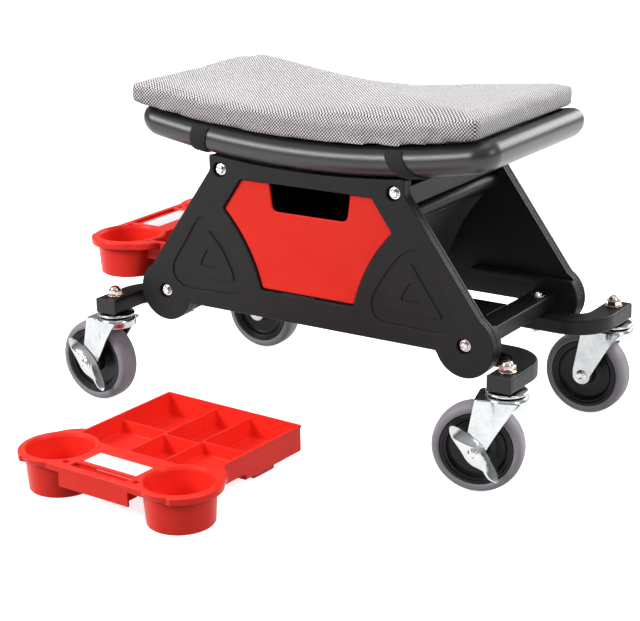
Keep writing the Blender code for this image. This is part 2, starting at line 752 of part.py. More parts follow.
def tray_shell():
    """The tray's divided body and its deck, before its cups are added."""
    half, wall, top = TRAY_HALF_WIDTH, TRAY_WALL, TRAY_HEIGHT
    body = block((-half, half), (BODY_FRONT, TRAY_BACK), (TRAY_FLOOR, top))
    joined = [prism(deck_outline(), top - LIP_HEIGHT, top - 0.0001)]
    joined.append(block(SKIRT_X, (DECK_FRONT + 0.0012, DECK_FRONT + 0.0036),
                        (SKIRT_BOTTOM, top - 0.003)))
    floor = TRAY_FLOOR + wall
    cuts = [block((-half + wall, half - wall), (BODY_FRONT + wall, TRAY_BACK - wall),
                  (DIVIDER_TOP, top + 0.01))]
    columns = ((-half + wall, -DIVIDER_X - wall / 2), (-DIVIDER_X + wall / 2, DIVIDER_X - wall / 2),
               (DIVIDER_X + wall / 2, half - wall))
    for index, column in enumerate(columns):
        front_floor = floor if index == 1 else ARCH_TOP + wall
        cuts.append(block(column, (BODY_FRONT + wall, CROSS_WALL_Y - wall / 2),
                          (front_floor, top + 0.01)))
        cuts.append(block(column, (CROSS_WALL_Y + wall / 2, TRAY_BACK - wall),
                          (floor, top + 0.01)))
    for side in (-1, 1):
        foot = block(sorted(side * x for x in FOOT_X), FOOT_Y, (0.0, TRAY_FLOOR + 0.001))
        joined.append(foot)
        arch_x = sorted((side * (FOOT_X[1] - 0.003), side * (half + 0.01)))
        cuts.append(block(arch_x, ARCH, (TRAY_FLOOR - 0.01, ARCH_TOP)))
    inner = CUP_SPACING - CUP_TOP
    cuts.append(block((-inner, inner), (DECK_FRONT + 0.0036, BODY_FRONT - 0.0001),
                      (0.015, top - wall)))
    return carved(body, joined, cuts)


def tray_mesh():
    """The tray: its shell with two cups, a slot and two pen holes."""
    top = TRAY_HEIGHT
    cups = []
    cuts = [block((-SLOT_HALF, SLOT_HALF), SLOT_Y, (0.02, top + 0.01))]
    for side in (-1, 1):
        cup = turned([(0.0, 0.0), (CUP_FOOT, 0.0), (CUP_TOP, top - 0.001),
                      (0.0, top - 0.001)], 20)
        cups.append(moved(cup, side * CUP_SPACING))
        bore = turned([(0.0, TRAY_WALL), (CUP_BORE_FOOT, TRAY_WALL), (CUP_BORE, top + 0.002),
                       (0.0, top + 0.002)], 20)
        cuts.append(moved(bore, side * CUP_SPACING))
        cuts.append(moved(cylinder(PEN_HOLE[2], 0.02, top + 0.01, 10), side * PEN_HOLE[0],
                          PEN_HOLE[1]))
    return carved(tray_shell(), cups, cuts)


def trays():
    mesh = tray_mesh()
    inside = pivot("left_tray_slide", STOOL, (TRAY_IN_X, 0.0, LEDGE_TOP + GAP - TRAY_FLOOR), -90.0)
    piece("left_tray", mesh, RED_PLASTIC, inside)
    x, y, turn = LOOSE_TRAY
    loose = pivot("loose_tray_lift", STOOL, (x, y, 0.0), turn)
    piece("loose_tray", mesh.copy(), RED_PLASTIC, loose)


# --- the whole set ------------------------------------------------------
def centre_on_floor():
    """Move everything so that the origin is under the middle of it all."""
    bpy.context.view_layer.update()
    low = Vector((1.0, 1.0, 1.0))
    high = -low
    for thing in bpy.data.objects:
        if thing.type != "MESH":
            continue
        for vertex in thing.data.vertices:
            place = thing.matrix_world @ vertex.co
            low = Vector(map(min, low, place))
            high = Vector(map(max, high, place))
    STOOL.location = (-(low.x + high.x) / 2.0, -(low.y + high.y) / 2.0, -low.z)


STOOL = bpy.data.objects.new("stool", None)
bpy.context.scene.collection.objects.link(STOOL)
seat_pan()
seat_cushion()
seat_strap("left_strap", -1)
seat_strap("right_strap", 1)
side_panels("front", -1)
side_panels("rear", 1)
drawer()
frame_tubes()
for caster_name, x_sign, y_sign, trail_angle, has_brake in CASTERS:
    arm(caster_name, x_sign, y_sign)
    caster(caster_name, x_sign, y_sign, trail_angle, has_brake)
trays()
centre_on_floor()
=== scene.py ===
"""The looks of a mechanic's creeper seat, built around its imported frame.

All lengths are in metres.  Most pieces are modelled around the stool's own
middle, on the floor, with X along the seat, and are then moved to where the
frame has it.
"""
import json
import math

import bmesh
import bpy
from mathutils import Matrix, Vector, geometry, noise


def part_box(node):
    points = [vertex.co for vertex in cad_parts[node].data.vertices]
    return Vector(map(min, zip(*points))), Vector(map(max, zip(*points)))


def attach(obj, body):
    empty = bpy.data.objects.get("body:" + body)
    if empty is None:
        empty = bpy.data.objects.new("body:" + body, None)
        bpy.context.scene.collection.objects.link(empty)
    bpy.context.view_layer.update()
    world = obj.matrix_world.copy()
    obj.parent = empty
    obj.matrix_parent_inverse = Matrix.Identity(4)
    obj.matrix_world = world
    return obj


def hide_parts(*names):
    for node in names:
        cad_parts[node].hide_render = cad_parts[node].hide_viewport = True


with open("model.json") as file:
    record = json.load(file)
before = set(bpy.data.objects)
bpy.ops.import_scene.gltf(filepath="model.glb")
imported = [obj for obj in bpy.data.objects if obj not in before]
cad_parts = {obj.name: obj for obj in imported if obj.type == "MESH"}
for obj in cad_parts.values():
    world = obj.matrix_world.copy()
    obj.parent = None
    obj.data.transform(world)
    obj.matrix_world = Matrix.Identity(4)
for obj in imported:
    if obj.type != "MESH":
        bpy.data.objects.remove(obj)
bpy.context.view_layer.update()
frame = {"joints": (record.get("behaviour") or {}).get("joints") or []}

SCENE = bpy.context.scene
COVER_LOW, COVER_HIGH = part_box("front_cover")
REAR_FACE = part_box("rear_cover")[1].y
STOOL = Vector(((COVER_LOW.x + COVER_HIGH.x) / 2.0, (COVER_LOW.y + REAR_FACE) / 2.0, 0.0))

# --- sizes ----------------------------------------------------------------
PANEL_FACE = (REAR_FACE - COVER_LOW.y) / 2.0
COVER_THICK = COVER_HIGH.y - COVER_LOW.y
PANEL_THICK = 0.0145
BOSS_THICK = 0.0215
PANEL_TOP = 0.3130
PANEL_BOTTOM = 0.1355
CORNER_X = 0.1303
SHOULDER_Z = 0.3020
LOBE = (0.2030, 0.1460)
LOBE_RADIUS = 0.0360
LOBE_MEETS = (0.2215, 0.1770)
LEDGE_TOP = 0.1688
TOP_BOLT = (0.1160, 0.3035)
POCKET_RADIUS = 0.0088
SEAT_LOW = 0.3312
SEAT_CURVE = 1.15
RIM_RADIUS = 0.0170
SEAT_HALF = (0.2340, 0.1200)
SEAT_CORNER = 0.0260
PAN_SHIFT = 0.0035
CUSHION_LOW, CUSHION_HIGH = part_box("seat_cushion")
CUSHION_HALF = ((CUSHION_HIGH.x - CUSHION_LOW.x) / 2.0, (CUSHION_HIGH.y - CUSHION_LOW.y) / 2.0)
CUSHION_THICK = 0.0250
CUSHION_CAP = 0.0045
WHEEL_RADIUS = 0.0500
TRAIL = 0.0300
ARM_Z = (0.1172, 0.1352)
CROWN_TOP = 0.1106
CROWN_RADIUS = 0.0238
LEG_FACE = 0.0172
LEG_SHEET = 0.0026
PEDAL_FACE = 0.0272
TRAY_TOP = 0.0460
DECK_TOP = TRAY_TOP - 0.0006
TRAY_HALF = 0.0973
TRAY_BACK = 0.1940
TRAY_FRONT = 0.0300
TRAY_FLOOR = 0.0148
TRAY_WALL = 0.0022
CUP_X = 0.0845
FLANGE_RADIUS = 0.0464
FLANGE_FRONT = -0.0400
WINDOW_DROP = 0.0012
WINDOW_TOP = 0.2955
WEAVE_PITCH = 0.0039
RIB_PITCH = 0.0016

# Each strap: its name, its middle at the cushion's edge, and how far it has slanted under the rim
STRAPS = (("left_strap", -0.1375, -0.0060), ("right_strap", 0.1180, 0.0262))
CORNERS = (("front_left", -1, -1), ("front_right", 1, -1), ("rear_right", 1, 1), ("rear_left", -1, 1))
BRAKED = ("front_left", "front_right")

# Each light: its name, its place, what it points at, its size and its power
LIGHTS = (
    ("front_left", (-1.5, -1.9, 1.45), (0.0, 0.0, 0.20), (1.1, 0.8), 51.0),
    ("back_right", (0.9, 2.1, 1.15), (0.0, 0.0, 0.20), (1.8, 1.0), 42.0),
    ("right", (2.2, -0.3, 1.3), (0.0, 0.0, 0.20), (0.7, 1.0), 18.0),
    ("top", (0.1, 0.2, 2.6), (0.0, 0.0, 0.0), (2.0, 1.6), 18.0),
)
AROUND, ABOVE, ROLL = math.radians(34.10), math.radians(17.80), -0.020796
EYE = Vector((1.06119, -1.65210, 0.75389))
LENS = 97.7625


# --- materials ------------------------------------------------------------
class Finish:
    """A material under construction, with short ways to add its nodes."""

    def __init__(self, name, colour, roughness, metallic=0.0):
        self.made = bpy.data.materials.new(name)
        self.made.use_nodes = True
        self.made.diffuse_color = colour + (1.0,)
        self.nodes = self.made.node_tree.nodes
        self.links = self.made.node_tree.links
        self.shader = self.nodes["Principled BSDF"]
        self.put("Base Color", colour + (1.0,))
        self.put("Roughness", roughness)
        self.put("Metallic", metallic)

    def put(self, socket, value):
        self.shader.inputs[socket].default_value = value

    def node(self, kind, **settings):
        made = self.nodes.new(kind)
        for key, value in settings.items():
            setattr(made, key, value)
        return made

    def link(self, source, target):
        self.links.new(source, target)

    def place(self):
        """Where a point lies on its own piece."""
        return self.node("ShaderNodeTexCoord").outputs["Object"]

    def cloud(self, scale, detail=3.0, rough=0.5):
        """Smooth noise at a scale in object space, as a factor."""
        made = self.node("ShaderNodeTexNoise")
        made.inputs["Scale"].default_value = scale
        made.inputs["Detail"].default_value = detail
        made.inputs["Roughness"].default_value = rough
        self.link(self.place(), made.inputs["Vector"])
        return made.outputs["Fac"]

    def ramp(self, factor, stops):
        """Colours that a factor runs through, as (position, colour) stops."""
        made = self.node("ShaderNodeValToRGB")
        ramp = made.color_ramp
        while len(ramp.elements) < len(stops):
            ramp.elements.new(0.5)
        for element, (position, colour) in zip(ramp.elements, stops):
            element.position = position
            element.color = colour + (1.0,)
        self.link(factor, made.inputs["Fac"])
        return made.outputs["Color"]

    def spread(self, factor, low, high):
        """A factor stretched over a new range."""
        made = self.node("ShaderNodeMapRange")
        made.inputs["To Min"].default_value = low
        made.inputs["To Max"].default_value = high
        self.link(factor, made.inputs["Value"])
        return made.outputs["Result"]

    def math(self, operation, first, second=None):
        """A sum on sockets or plain values."""
        made = self.node("ShaderNodeMath", operation=operation)
        for socket, value in zip(made.inputs, (first, second)):
            if isinstance(value, (int, float)):
                socket.default_value = value
            elif value is not None:
                self.link(value, socket)
        return made.outputs["Value"]

    def bump(self, height, depth, strength=1.0):
        made = self.node("ShaderNodeBump")
        made.inputs["Distance"].default_value = depth
        made.inputs["Strength"].default_value = strength
        self.link(height, made.inputs["Height"])
        self.link(made.outputs["Normal"], self.shader.inputs["Normal"])


def plastic(name, dark, light, rough, grain=2600.0, depth=0.00006, coat=0.0, mottle=38.0,
            shine=0.22):
    """Moulded plastic: fine grain, faint clouds of colour and gloss."""
    finish = Finish(name, tuple((a + b) / 2.0 for a, b in zip(dark, light)), sum(rough) / 2.0)
    clouds = finish.cloud(mottle, 4.0, 0.6)
    colour = finish.ramp(clouds, [(0.30, dark), (0.70, light)])
    finish.link(colour, finish.shader.inputs["Base Color"])
    finish.link(finish.spread(finish.cloud(120.0, 3.0), rough[0], rough[1]),
                finish.shader.inputs["Roughness"])
    finish.put("Coat Weight", coat)
    finish.put("Specular IOR Level", shine)
    finish.put("Coat Roughness", 0.25)
    finish.bump(finish.cloud(grain, 2.0, 0.6), depth)
    return finish.made


def metal(name, dark, light, rough, scale=60.0):
    """Bright metal with soft clouds of tone and gloss."""
    finish = Finish(name, tuple((a + b) / 2.0 for a, b in zip(dark, light)), sum(rough) / 2.0, 1.0)
    clouds = finish.cloud(scale, 5.0, 0.65)
    finish.link(finish.ramp(clouds, [(0.32, dark), (0.68, light)]),
                finish.shader.inputs["Base Color"])
    finish.link(finish.spread(finish.cloud(scale * 3.0, 4.0, 0.6), rough[0], rough[1]),
                finish.shader.inputs["Roughness"])
    finish.bump(finish.cloud(scale * 6.0, 3.0, 0.6), 0.00002)
    return finish.made


def weave():
    """Tweed: light threads that pass over a darker, faintly mauve ground."""
    finish = Finish("tweed_fabric", (0.45, 0.43, 0.45), 0.9)
    finish.put("Sheen Weight", 0.25)
    finish.put("Sheen Roughness", 0.5)
    finish.put("Specular IOR Level", 0.2)
    wobble = finish.node("ShaderNodeTexNoise")
    wobble.inputs["Scale"].default_value = 90.0
    wobble.inputs["Detail"].default_value = 2.0
    place = finish.place()
    finish.link(place, wobble.inputs["Vector"])
    shift = finish.node("ShaderNodeVectorMath", operation="SCALE")
    shift.inputs["Scale"].default_value = 0.0011
    finish.link(wobble.outputs["Color"], shift.inputs[0])
    warped = finish.node("ShaderNodeVectorMath", operation="ADD")
    finish.link(place, warped.inputs[0])
    finish.link(shift.outputs["Vector"], warped.inputs[1])
    spot = finish.node("ShaderNodeSeparateXYZ")
    finish.link(warped.outputs["Vector"], spot.inputs["Vector"])
    texture = finish.node("ShaderNodeTexCoord")
    facing = finish.node("ShaderNodeSeparateXYZ")
    finish.link(texture.outputs["Normal"], facing.inputs["Vector"])
    up = finish.math("GREATER_THAN", finish.math("ABSOLUTE", facing.outputs["Z"]), 0.62)
    across = finish.math("GREATER_THAN", finish.math("ABSOLUTE", facing.outputs["X"]),
                         finish.math("ABSOLUTE", facing.outputs["Y"]))

    def choose(factor, when_off, when_on):
        """One of two values, picked by a factor of 0 or 1."""
        mix = finish.node("ShaderNodeMix", data_type="FLOAT")
        finish.link(factor, mix.inputs[0])
        finish.link(when_off, mix.inputs[2])
        finish.link(when_on, mix.inputs[3])
        return mix.outputs[0]

    x, y, z = spot.outputs["X"], spot.outputs["Y"], spot.outputs["Z"]
    first = choose(up, choose(across, x, y), x)
    second = choose(up, z, y)
    wave = 2.0 * math.pi / WEAVE_PITCH
    crossing = finish.math("MULTIPLY", finish.math("SINE", finish.math("MULTIPLY", first, wave)),
                           finish.math("SINE", finish.math("MULTIPLY", second, wave)))
    fibres = finish.cloud(1500.0, 3.0, 0.7)
    strayed = finish.math("MULTIPLY", finish.math("SUBTRACT", fibres, 0.5), 0.9)
    height = finish.math("ADD", crossing, strayed)
    lifted = finish.spread(height, 0.0, 1.0)
    colour = finish.ramp(lifted, [(0.40, (0.070, 0.052, 0.066)), (0.52, (0.34, 0.31, 0.33)),
                                  (0.63, (0.92, 0.90, 0.92))])
    lifted.node.inputs["From Min"].default_value = -0.8
    lifted.node.inputs["From Max"].default_value = 0.8
    clouds = finish.cloud(14.0, 3.0, 0.5)
    tint = finish.node("ShaderNodeMix", data_type="RGBA", blend_type="MULTIPLY")
    tint.inputs[0].default_value = 1.0
    finish.link(colour, tint.inputs[6])
    shade = finish.ramp(clouds, [(0.3, (0.90, 0.90, 0.90)), (0.7, (1.0, 1.0, 1.0))])
    finish.link(shade, tint.inputs[7])
    finish.link(tint.outputs[2], finish.shader.inputs["Base Color"])
    finish.bump(height, 0.00045, 0.8)
    return finish.made


def webbing():
    """Woven elastic: fine ribs across the strap."""
    finish = Finish("elastic_webbing", (0.012, 0.012, 0.013), 0.85)
    finish.put("Specular IOR Level", 0.25)
    spot = finish.node("ShaderNodeSeparateXYZ")
    finish.link(finish.place(), spot.inputs["Vector"])
    ribs = finish.math("SINE", finish.math("MULTIPLY", spot.outputs["X"], 2.0 * math.pi / RIB_PITCH))
    fuzz = finish.cloud(900.0, 3.0, 0.7)
    mixed = finish.math("ADD", finish.math("MULTIPLY", ribs, 0.5), fuzz)
    finish.link(finish.ramp(finish.spread(mixed, 0.0, 1.0),
                            [(0.3, (0.008, 0.008, 0.009)), (0.9, (0.034, 0.034, 0.036))]),
                finish.shader.inputs["Base Color"])
    finish.bump(mixed, 0.0002, 0.8)
    return finish.made


BLACK = plastic("black_moulded", (0.0092, 0.0090, 0.0098), (0.0126, 0.0124, 0.0132), (0.46, 0.56),
                shine=0.18)
# A lighter grey copy of the black moulded plastic for the inner panel's edge walls: the grey is a painted
# highlight for light catching those edges; its grain, bump and blotches are texture
PAINTED_LIT_EDGE = plastic("black_edge_painted_highlight", (0.060, 0.061, 0.064), (0.120, 0.121, 0.125), (0.40, 0.52),
               1500.0, 0.00015, 0.0, 160.0)
RIM = plastic("rim_moulded", (0.010, 0.010, 0.011), (0.014, 0.014, 0.015), (0.30, 0.38), 2200.0, 0.00005,
              shine=0.50)
CORE = plastic("wheel_moulded", (0.0040, 0.0040, 0.0045), (0.0070, 0.0070, 0.0075), (0.30, 0.42),
               shine=0.20)
CAP = plastic("cap_moulded", (0.020, 0.021, 0.021), (0.028, 0.029, 0.029), (0.42, 0.52))
RED = plastic("red_moulded", (0.840, 0.028, 0.017), (0.890, 0.036, 0.022), (0.32, 0.42), 3000.0, 0.00002,
              0.02, 24.0, 0.13)
TYRE = plastic("tyre_rubber", (0.235, 0.214, 0.245), (0.290, 0.268, 0.300), (0.50, 0.62), 1800.0, 0.00005,
               shine=0.45)
LABEL = plastic("blank_label", (0.80, 0.80, 0.82), (0.86, 0.86, 0.88), (0.30, 0.36), 1200.0, 0.00001)
ZINC = metal("zinc_plate", (0.36, 0.38, 0.39), (0.48, 0.49, 0.49), (0.12, 0.22))
BOLT = metal("bright_bolt", (0.44, 0.42, 0.41), (0.66, 0.65, 0.63), (0.12, 0.24), 140.0)
NUT = metal("warm_nut", (0.40, 0.33, 0.29), (0.62, 0.55, 0.50), (0.12, 0.24), 140.0)
STEEL = plastic("black_coated_steel", (0.0050, 0.0050, 0.0055), (0.0080, 0.0080, 0.0085), (0.36, 0.46),
                1400.0, 0.00004, 0.0, shine=0.16)
FABRIC = weave()
ELASTIC = webbing()


# --- outlines ---------------------------------------------------------------
def arc(centre, radius, start, stop, steps):
    """Points along an arc, its angles in degrees."""
    points = []
    for step in range(steps + 1):
        angle = math.radians(start + (stop - start) * step / steps)
        points.append((centre[0] + radius * math.cos(angle), centre[1] + radius * math.sin(angle)))
    return points


def bowed(start, stop, bow, steps):
    """Points between two ends on a curve that bows out to the left."""
    first, last = Vector(start), Vector(stop)
    along = last - first
    side = Vector((-along.y, along.x)).normalized()
    points = []
    for step in range(1, steps):
        share = step / steps
        points.append(tuple(first + along * share + side * (4.0 * bow * share * (1.0 - share))))
    return points


def corner_points(here, before, after, reach, steps):
    """Points on a curve that cuts a corner, from one side of it to the other."""
    points = []
    for step in range(steps + 1):
        share = step / steps
        point = (here + before * reach) * (1.0 - share) ** 2
        point = point + here * (2.0 * share * (1.0 - share)) + (here + after * reach) * share ** 2
        points.append(tuple(point))
    return points


def rounded(corners, radius, steps=6):
    """An outline with each corner rounded off; a radius for all or one for each."""
    count = len(corners)
    points = []
    for index in range(count):
        wanted = radius[index] if isinstance(radius, (list, tuple)) else radius
        here = Vector(corners[index])
        before = Vector(corners[index - 1]) - here
        after = Vector(corners[(index + 1) % count]) - here
        angle = before.angle(after)
        if wanted <= 0.0 or angle > math.radians(174.0):
            points.append(tuple(here))
            continue
        reach = min(wanted / math.tan(angle / 2.0), before.length * 0.45, after.length * 0.45)
        points += corner_points(here, before.normalized(), after.normalized(), reach, steps)
    return points


def rectangle(x_span, y_span):
    """A rectangle's corners, anticlockwise from the lowest."""
    return [(x_span[0], y_span[0]), (x_span[1], y_span[0]), (x_span[1], y_span[1]), (x_span[0], y_span[1])]


def mirrored(half):
    """A whole outline from its right half, which runs from top to bottom."""
    return half + [(-x, z) for x, z in reversed(half) if x > 1e-6]


def signed_area(loop):
    """A loop's area, above zero where it runs anticlockwise."""
    total = 0.0
    for index, (x, y) in enumerate(loop):
        after = loop[(index + 1) % len(loop)]
        total += x * after[1] - after[0] * y
    return total / 2.0


def facing(loop, hole):
    """The loop, turned anticlockwise, or clockwise where it is a hole."""
    return list(reversed(loop)) if (signed_area(loop) > 0.0) == hole else list(loop)


def offset(loop, distance):
    """A loop moved to its left side."""
    count = len(loop)
    moved = []
    for index in range(count):
        here = Vector(loop[index])
        before = (here - Vector(loop[index - 1])).normalized()
        after = (Vector(loop[(index + 1) % count]) - here).normalized()
        first, second = Vector((-before.y, before.x)), Vector((-after.y, after.x))
        middle = (first + second).normalized()
        moved.append(tuple(here + middle * (distance / max(middle.dot(first), 0.4))))
    return moved


def thinned(loop, least=0.00005):
    """A loop without points that fall on each other."""
    kept = []
    for point in loop:
        if not kept or (Vector(point) - Vector(kept[-1])).length > least:
            kept.append(point)
    if (Vector(kept[0]) - Vector(kept[-1])).length <= least:
        kept.pop()
    return kept


# --- meshes -------------------------------------------------------------------
class Shape:
    """Points and faces of a piece; several closed shells may go into one."""

    def __init__(self):
        self.points = []
        self.faces = []
        self.slots = []

    def add(self, points, faces, slot=0):
        """Put a shell in, with its faces counted from its own first point."""
        base = len(self.points)
        self.points += [Vector(point) for point in points]
        self.faces += [[base + index for index in face] for face in faces]
        self.slots += [slot] * len(faces)
        return self

    def place(self, matrix):
        """Move every point."""
        self.points = [matrix @ point for point in self.points]
        return self

    def merge(self, other):
        """Put another shape in beside this one."""
        self.add(other.points, other.faces)
        self.slots[-len(other.slots):] = other.slots
        return self


def bands(rows, width, closed=True):
    """Faces between rows of points, one row after another."""
    faces = []
    for row in range(rows - 1):
        for corner in range(width if closed else width - 1):
            after = (corner + 1) % width
            faces.append([row * width + corner, row * width + after,
                          (row + 1) * width + after, (row + 1) * width + corner])
    return faces


def plate(loops, low, high, edge=0.001, low_edge=None, steps=4, axis="Z", wall_slot=0):
    """A flat plate with rounded edges.  loops[0] is its outline, the rest are holes."""
    low_edge = edge if low_edge is None else low_edge
    levels = []
    for step in range(steps + 1):
        angle = math.radians(90.0 * step / steps)
        levels.append((low_edge * (1.0 - math.sin(angle)), low + low_edge * (1.0 - math.cos(angle))))
    for step in range(steps + 1):
        angle = math.radians(90.0 * step / steps)
        levels.append((edge * (1.0 - math.cos(angle)), high - edge * (1.0 - math.sin(angle))))
    shape = Shape()
    rings = []
    for index, loop in enumerate(loops):
        loop = facing(thinned(loop), index > 0)
        count = len(loop)
        points = []
        for inset, height in levels:
            points += [(x, y, height) for x, y in offset(loop, inset)]
        rings.append((len(shape.points), count))
        shape.add(points, bands(len(levels), count), wall_slot)
    for level, turn in ((0, True), (len(levels) - 1, False)):
        loops_here = []
        where = []
        for base, count in rings:
            start = base + level * count
            loops_here.append([Vector((shape.points[start + i].x, shape.points[start + i].y, 0.0))
                               for i in range(count)])
            where += list(range(start, start + count))
        for face in geometry.tessellate_polygon(loops_here):
            corners = [where[index] for index in face]
            shape.faces.append(list(reversed(corners)) if turn else corners)
            shape.slots.append(0)
    if axis == "Y":
        shape.points = [Vector((p.x, p.z, p.y)) for p in shape.points]
    elif axis == "X":
        shape.points = [Vector((p.z, p.x, p.y)) for p in shape.points]
    return shape


def lathe(profile, steps=48, axis="Z"):
    """A profile of (radius, height) turned about an axis into a closed solid."""
    points = []
    rings = []
    for radius, height in profile:
        if radius < 1e-7:
            points.append((0.0, 0.0, height))
            rings.append([len(points) - 1] * steps)
            continue
        ring = []
        for step in range(steps):
            angle = 2.0 * math.pi * step / steps
            points.append((radius * math.cos(angle), radius * math.sin(angle), height))
            ring.append(len(points) - 1)
        rings.append(ring)
    pairs = list(zip(rings, rings[1:]))
    if profile[0][0] > 1e-7:
        pairs.append((rings[-1], rings[0]))
    faces = []
    for first, second in pairs:
        for step in range(steps):
            after = (step + 1) % steps
            corners = list(dict.fromkeys([first[step], first[after], second[after], second[step]]))
            if len(corners) > 2:
                faces.append(corners)
    shape = Shape().add(points, faces)
    if axis == "Y":
        shape.points = [Vector((p.x, p.z, -p.y)) for p in shape.points]
    return shape


def eased(profile, radius, steps=3):
    """An open profile with its inner corners rounded off."""
    points = [profile[0]]
    for index in range(1, len(profile) - 1):
        here = Vector(profile[index])
        before = Vector(profile[index - 1]) - here
        after = Vector(profile[index + 1]) - here
        if before.angle(after) > math.radians(170.0):
            points.append(tuple(here))
            continue
        reach = min(radius, before.length * 0.45, after.length * 0.45)
        points += corner_points(here, before.normalized(), after.normalized(), reach, steps)
    return points + [profile[-1]]


def sweep(path, section):
    """A closed section carried along level path points, standing upright.

    Section points are (out, up), out being to the right of the way along.
    """
    points = []
    for index, spot in enumerate(path):
        here = Vector(spot)
        ways = []
        if index:
            ways.append((here - Vector(path[index - 1])).normalized())
        if index < len(path) - 1:
            ways.append((Vector(path[index + 1]) - here).normalized())
        way = sum(ways, Vector((0.0, 0.0, 0.0))).normalized()
        right = Vector((way.y, -way.x, 0.0)).normalized()
        flat = Vector((ways[0].x, ways[0].y, 0.0)).normalized()
        stretch = 1.0 / max(Vector((flat.y, -flat.x, 0.0)).dot(right), 0.5)
        for out, up in section:
            points.append(here + right * (out * stretch) + Vector((0.0, 0.0, up)))
    return capped(points, len(path), len(section))


def capped(points, rows, width):
    """A solid from rows of points, with a flat face at each end."""
    ends = [list(range(width)), list(range((rows - 1) * width, rows * width))]
    return Shape().add(points, bands(rows, width) + ends)


def mesh_from(shape, name="shape"):
    """A mesh from a shape, cleaned, with its faces turned outwards."""
    work = bmesh.new()
    corners = [work.verts.new(point) for point in shape.points]
    for face, slot in zip(shape.faces, shape.slots):
        if len(set(face)) < 3:
            continue
        made = work.faces.new([corners[index] for index in face])
        made.material_index = slot
    bmesh.ops.remove_doubles(work, verts=work.verts, dist=1e-6)
    bmesh.ops.dissolve_degenerate(work, dist=1e-7, edges=work.edges)
    bmesh.ops.recalc_face_normals(work, faces=work.faces)
    mesh = bpy.data.meshes.new(name)
    work.to_mesh(mesh)
    work.free()
    return mesh


def softened(shape, width, segments=3, angle=40.0):
    """The shape with its sharp edges rounded off."""
    work = bmesh.new()
    mesh = mesh_from(shape)
    work.from_mesh(mesh)
    bpy.data.meshes.remove(mesh)
    limit = math.radians(angle)
    edges = [edge for edge in work.edges
             if len(edge.link_faces) == 2 and edge.calc_face_angle(0.0) > limit]
    bmesh.ops.bevel(work, geom=edges, offset=width, offset_type="OFFSET", segments=segments,
                    profile=0.5, affect="EDGES", clamp_overlap=True)
    result = Shape()
    work.verts.index_update()
    result.add([vertex.co.copy() for vertex in work.verts],
               [[vertex.index for vertex in face.verts] for face in work.faces])
    work.free()
    return result


def block(x_span, y_span, z_span):
    """A plain box."""
    points = [(x, y, z) for z in z_span for x, y in rectangle(x_span, y_span)]
    faces = [[0, 3, 2, 1], [4, 5, 6, 7], [0, 1, 5, 4], [1, 2, 6, 5], [2, 3, 7, 6], [3, 0, 4, 7]]
    return Shape().add(points, faces)


def linked(name, mesh):
    """A new object in the scene."""
    made = bpy.data.objects.new(name, mesh)
    SCENE.collection.objects.link(made)
    return made


def applied(made):
    """The mesh of an object with its modifiers worked out; the object goes."""
    bpy.context.view_layer.update()
    graph = bpy.context.evaluated_depsgraph_get()
    mesh = bpy.data.meshes.new_from_object(made.evaluated_get(graph))
    bpy.data.objects.remove(made)
    return mesh


def united(shapes, cuts=()):
    """One closed mesh from shells that overlap, less the shells cut from it."""
    first = shapes[0]
    base = linked("base", first if isinstance(first, bpy.types.Mesh) else mesh_from(first))
    helpers = []
    for operation, group in (("UNION", shapes[1:]), ("DIFFERENCE", cuts)):
        for shape in group:
            helper = linked("helper", mesh_from(shape))
            helpers.append(helper)
            step = base.modifiers.new("step", "BOOLEAN")
            step.operation = operation
            step.solver = "EXACT"
            step.object = helper
    mesh = applied(base)
    for helper in helpers:
        bpy.data.objects.remove(helper)
    return mesh


def piece(name, shape, finishes, body, replaces=(), place=None, sharp=38.0, weighted=True):
    """A finished piece that rides on a body and may stand for CAD nodes."""
    mesh = shape if isinstance(shape, bpy.types.Mesh) else mesh_from(shape, name)
    mesh.name = name
    made = linked(name, mesh)
    made.matrix_world = place if place is not None else Matrix.Translation(STOOL)
    mesh.materials.clear()
    for finish in finishes if isinstance(finishes, (list, tuple)) else [finishes]:
        mesh.materials.append(finish)
    mesh.shade_smooth()
    mesh.set_sharp_from_angle(angle=math.radians(sharp))
    if weighted:
        normals = made.modifiers.new("normals", "WEIGHTED_NORMAL")
        normals.keep_sharp = True
        normals.weight = 60
    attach(made, body)
    if replaces:
        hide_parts(*replaces)
    return made


# --- side panels --------------------------------------------------------------
def panel_outline(inset=0.0):
    """The side panel's outline, drawn in by an inset."""
    radius = LOBE_RADIUS - inset
    half = []
    for step in range(9):
        x = (CORNER_X - inset) * step / 8
        half.append((x, PANEL_TOP - inset + x * x / (2.0 * SEAT_CURVE)))
    corner = (CORNER_X - inset, SHOULDER_Z - inset)
    start = math.degrees(math.atan2(LOBE_MEETS[1] - LOBE[1], LOBE_MEETS[0] - LOBE[0]))
    rise = PANEL_BOTTOM + inset - LOBE[1]
    stop = -180.0 - math.degrees(math.asin(rise / radius))
    lobe = arc(LOBE, radius, start, stop, 40)
    top_end = half.pop()
    turned = rounded([half[-1], top_end, corner, lobe[0]], [0.0, 0.003, 0.010, 0.0], 5)
    half = half[:-1] + turned[:-1]
    half += lobe
    neck = half.pop()
    bottom = PANEL_BOTTOM + inset
    half += [(neck[0] - 0.0012, neck[1]), (neck[0] - 0.0001 - 0.006, bottom), (0.0, bottom)]
    return mirrored(half)


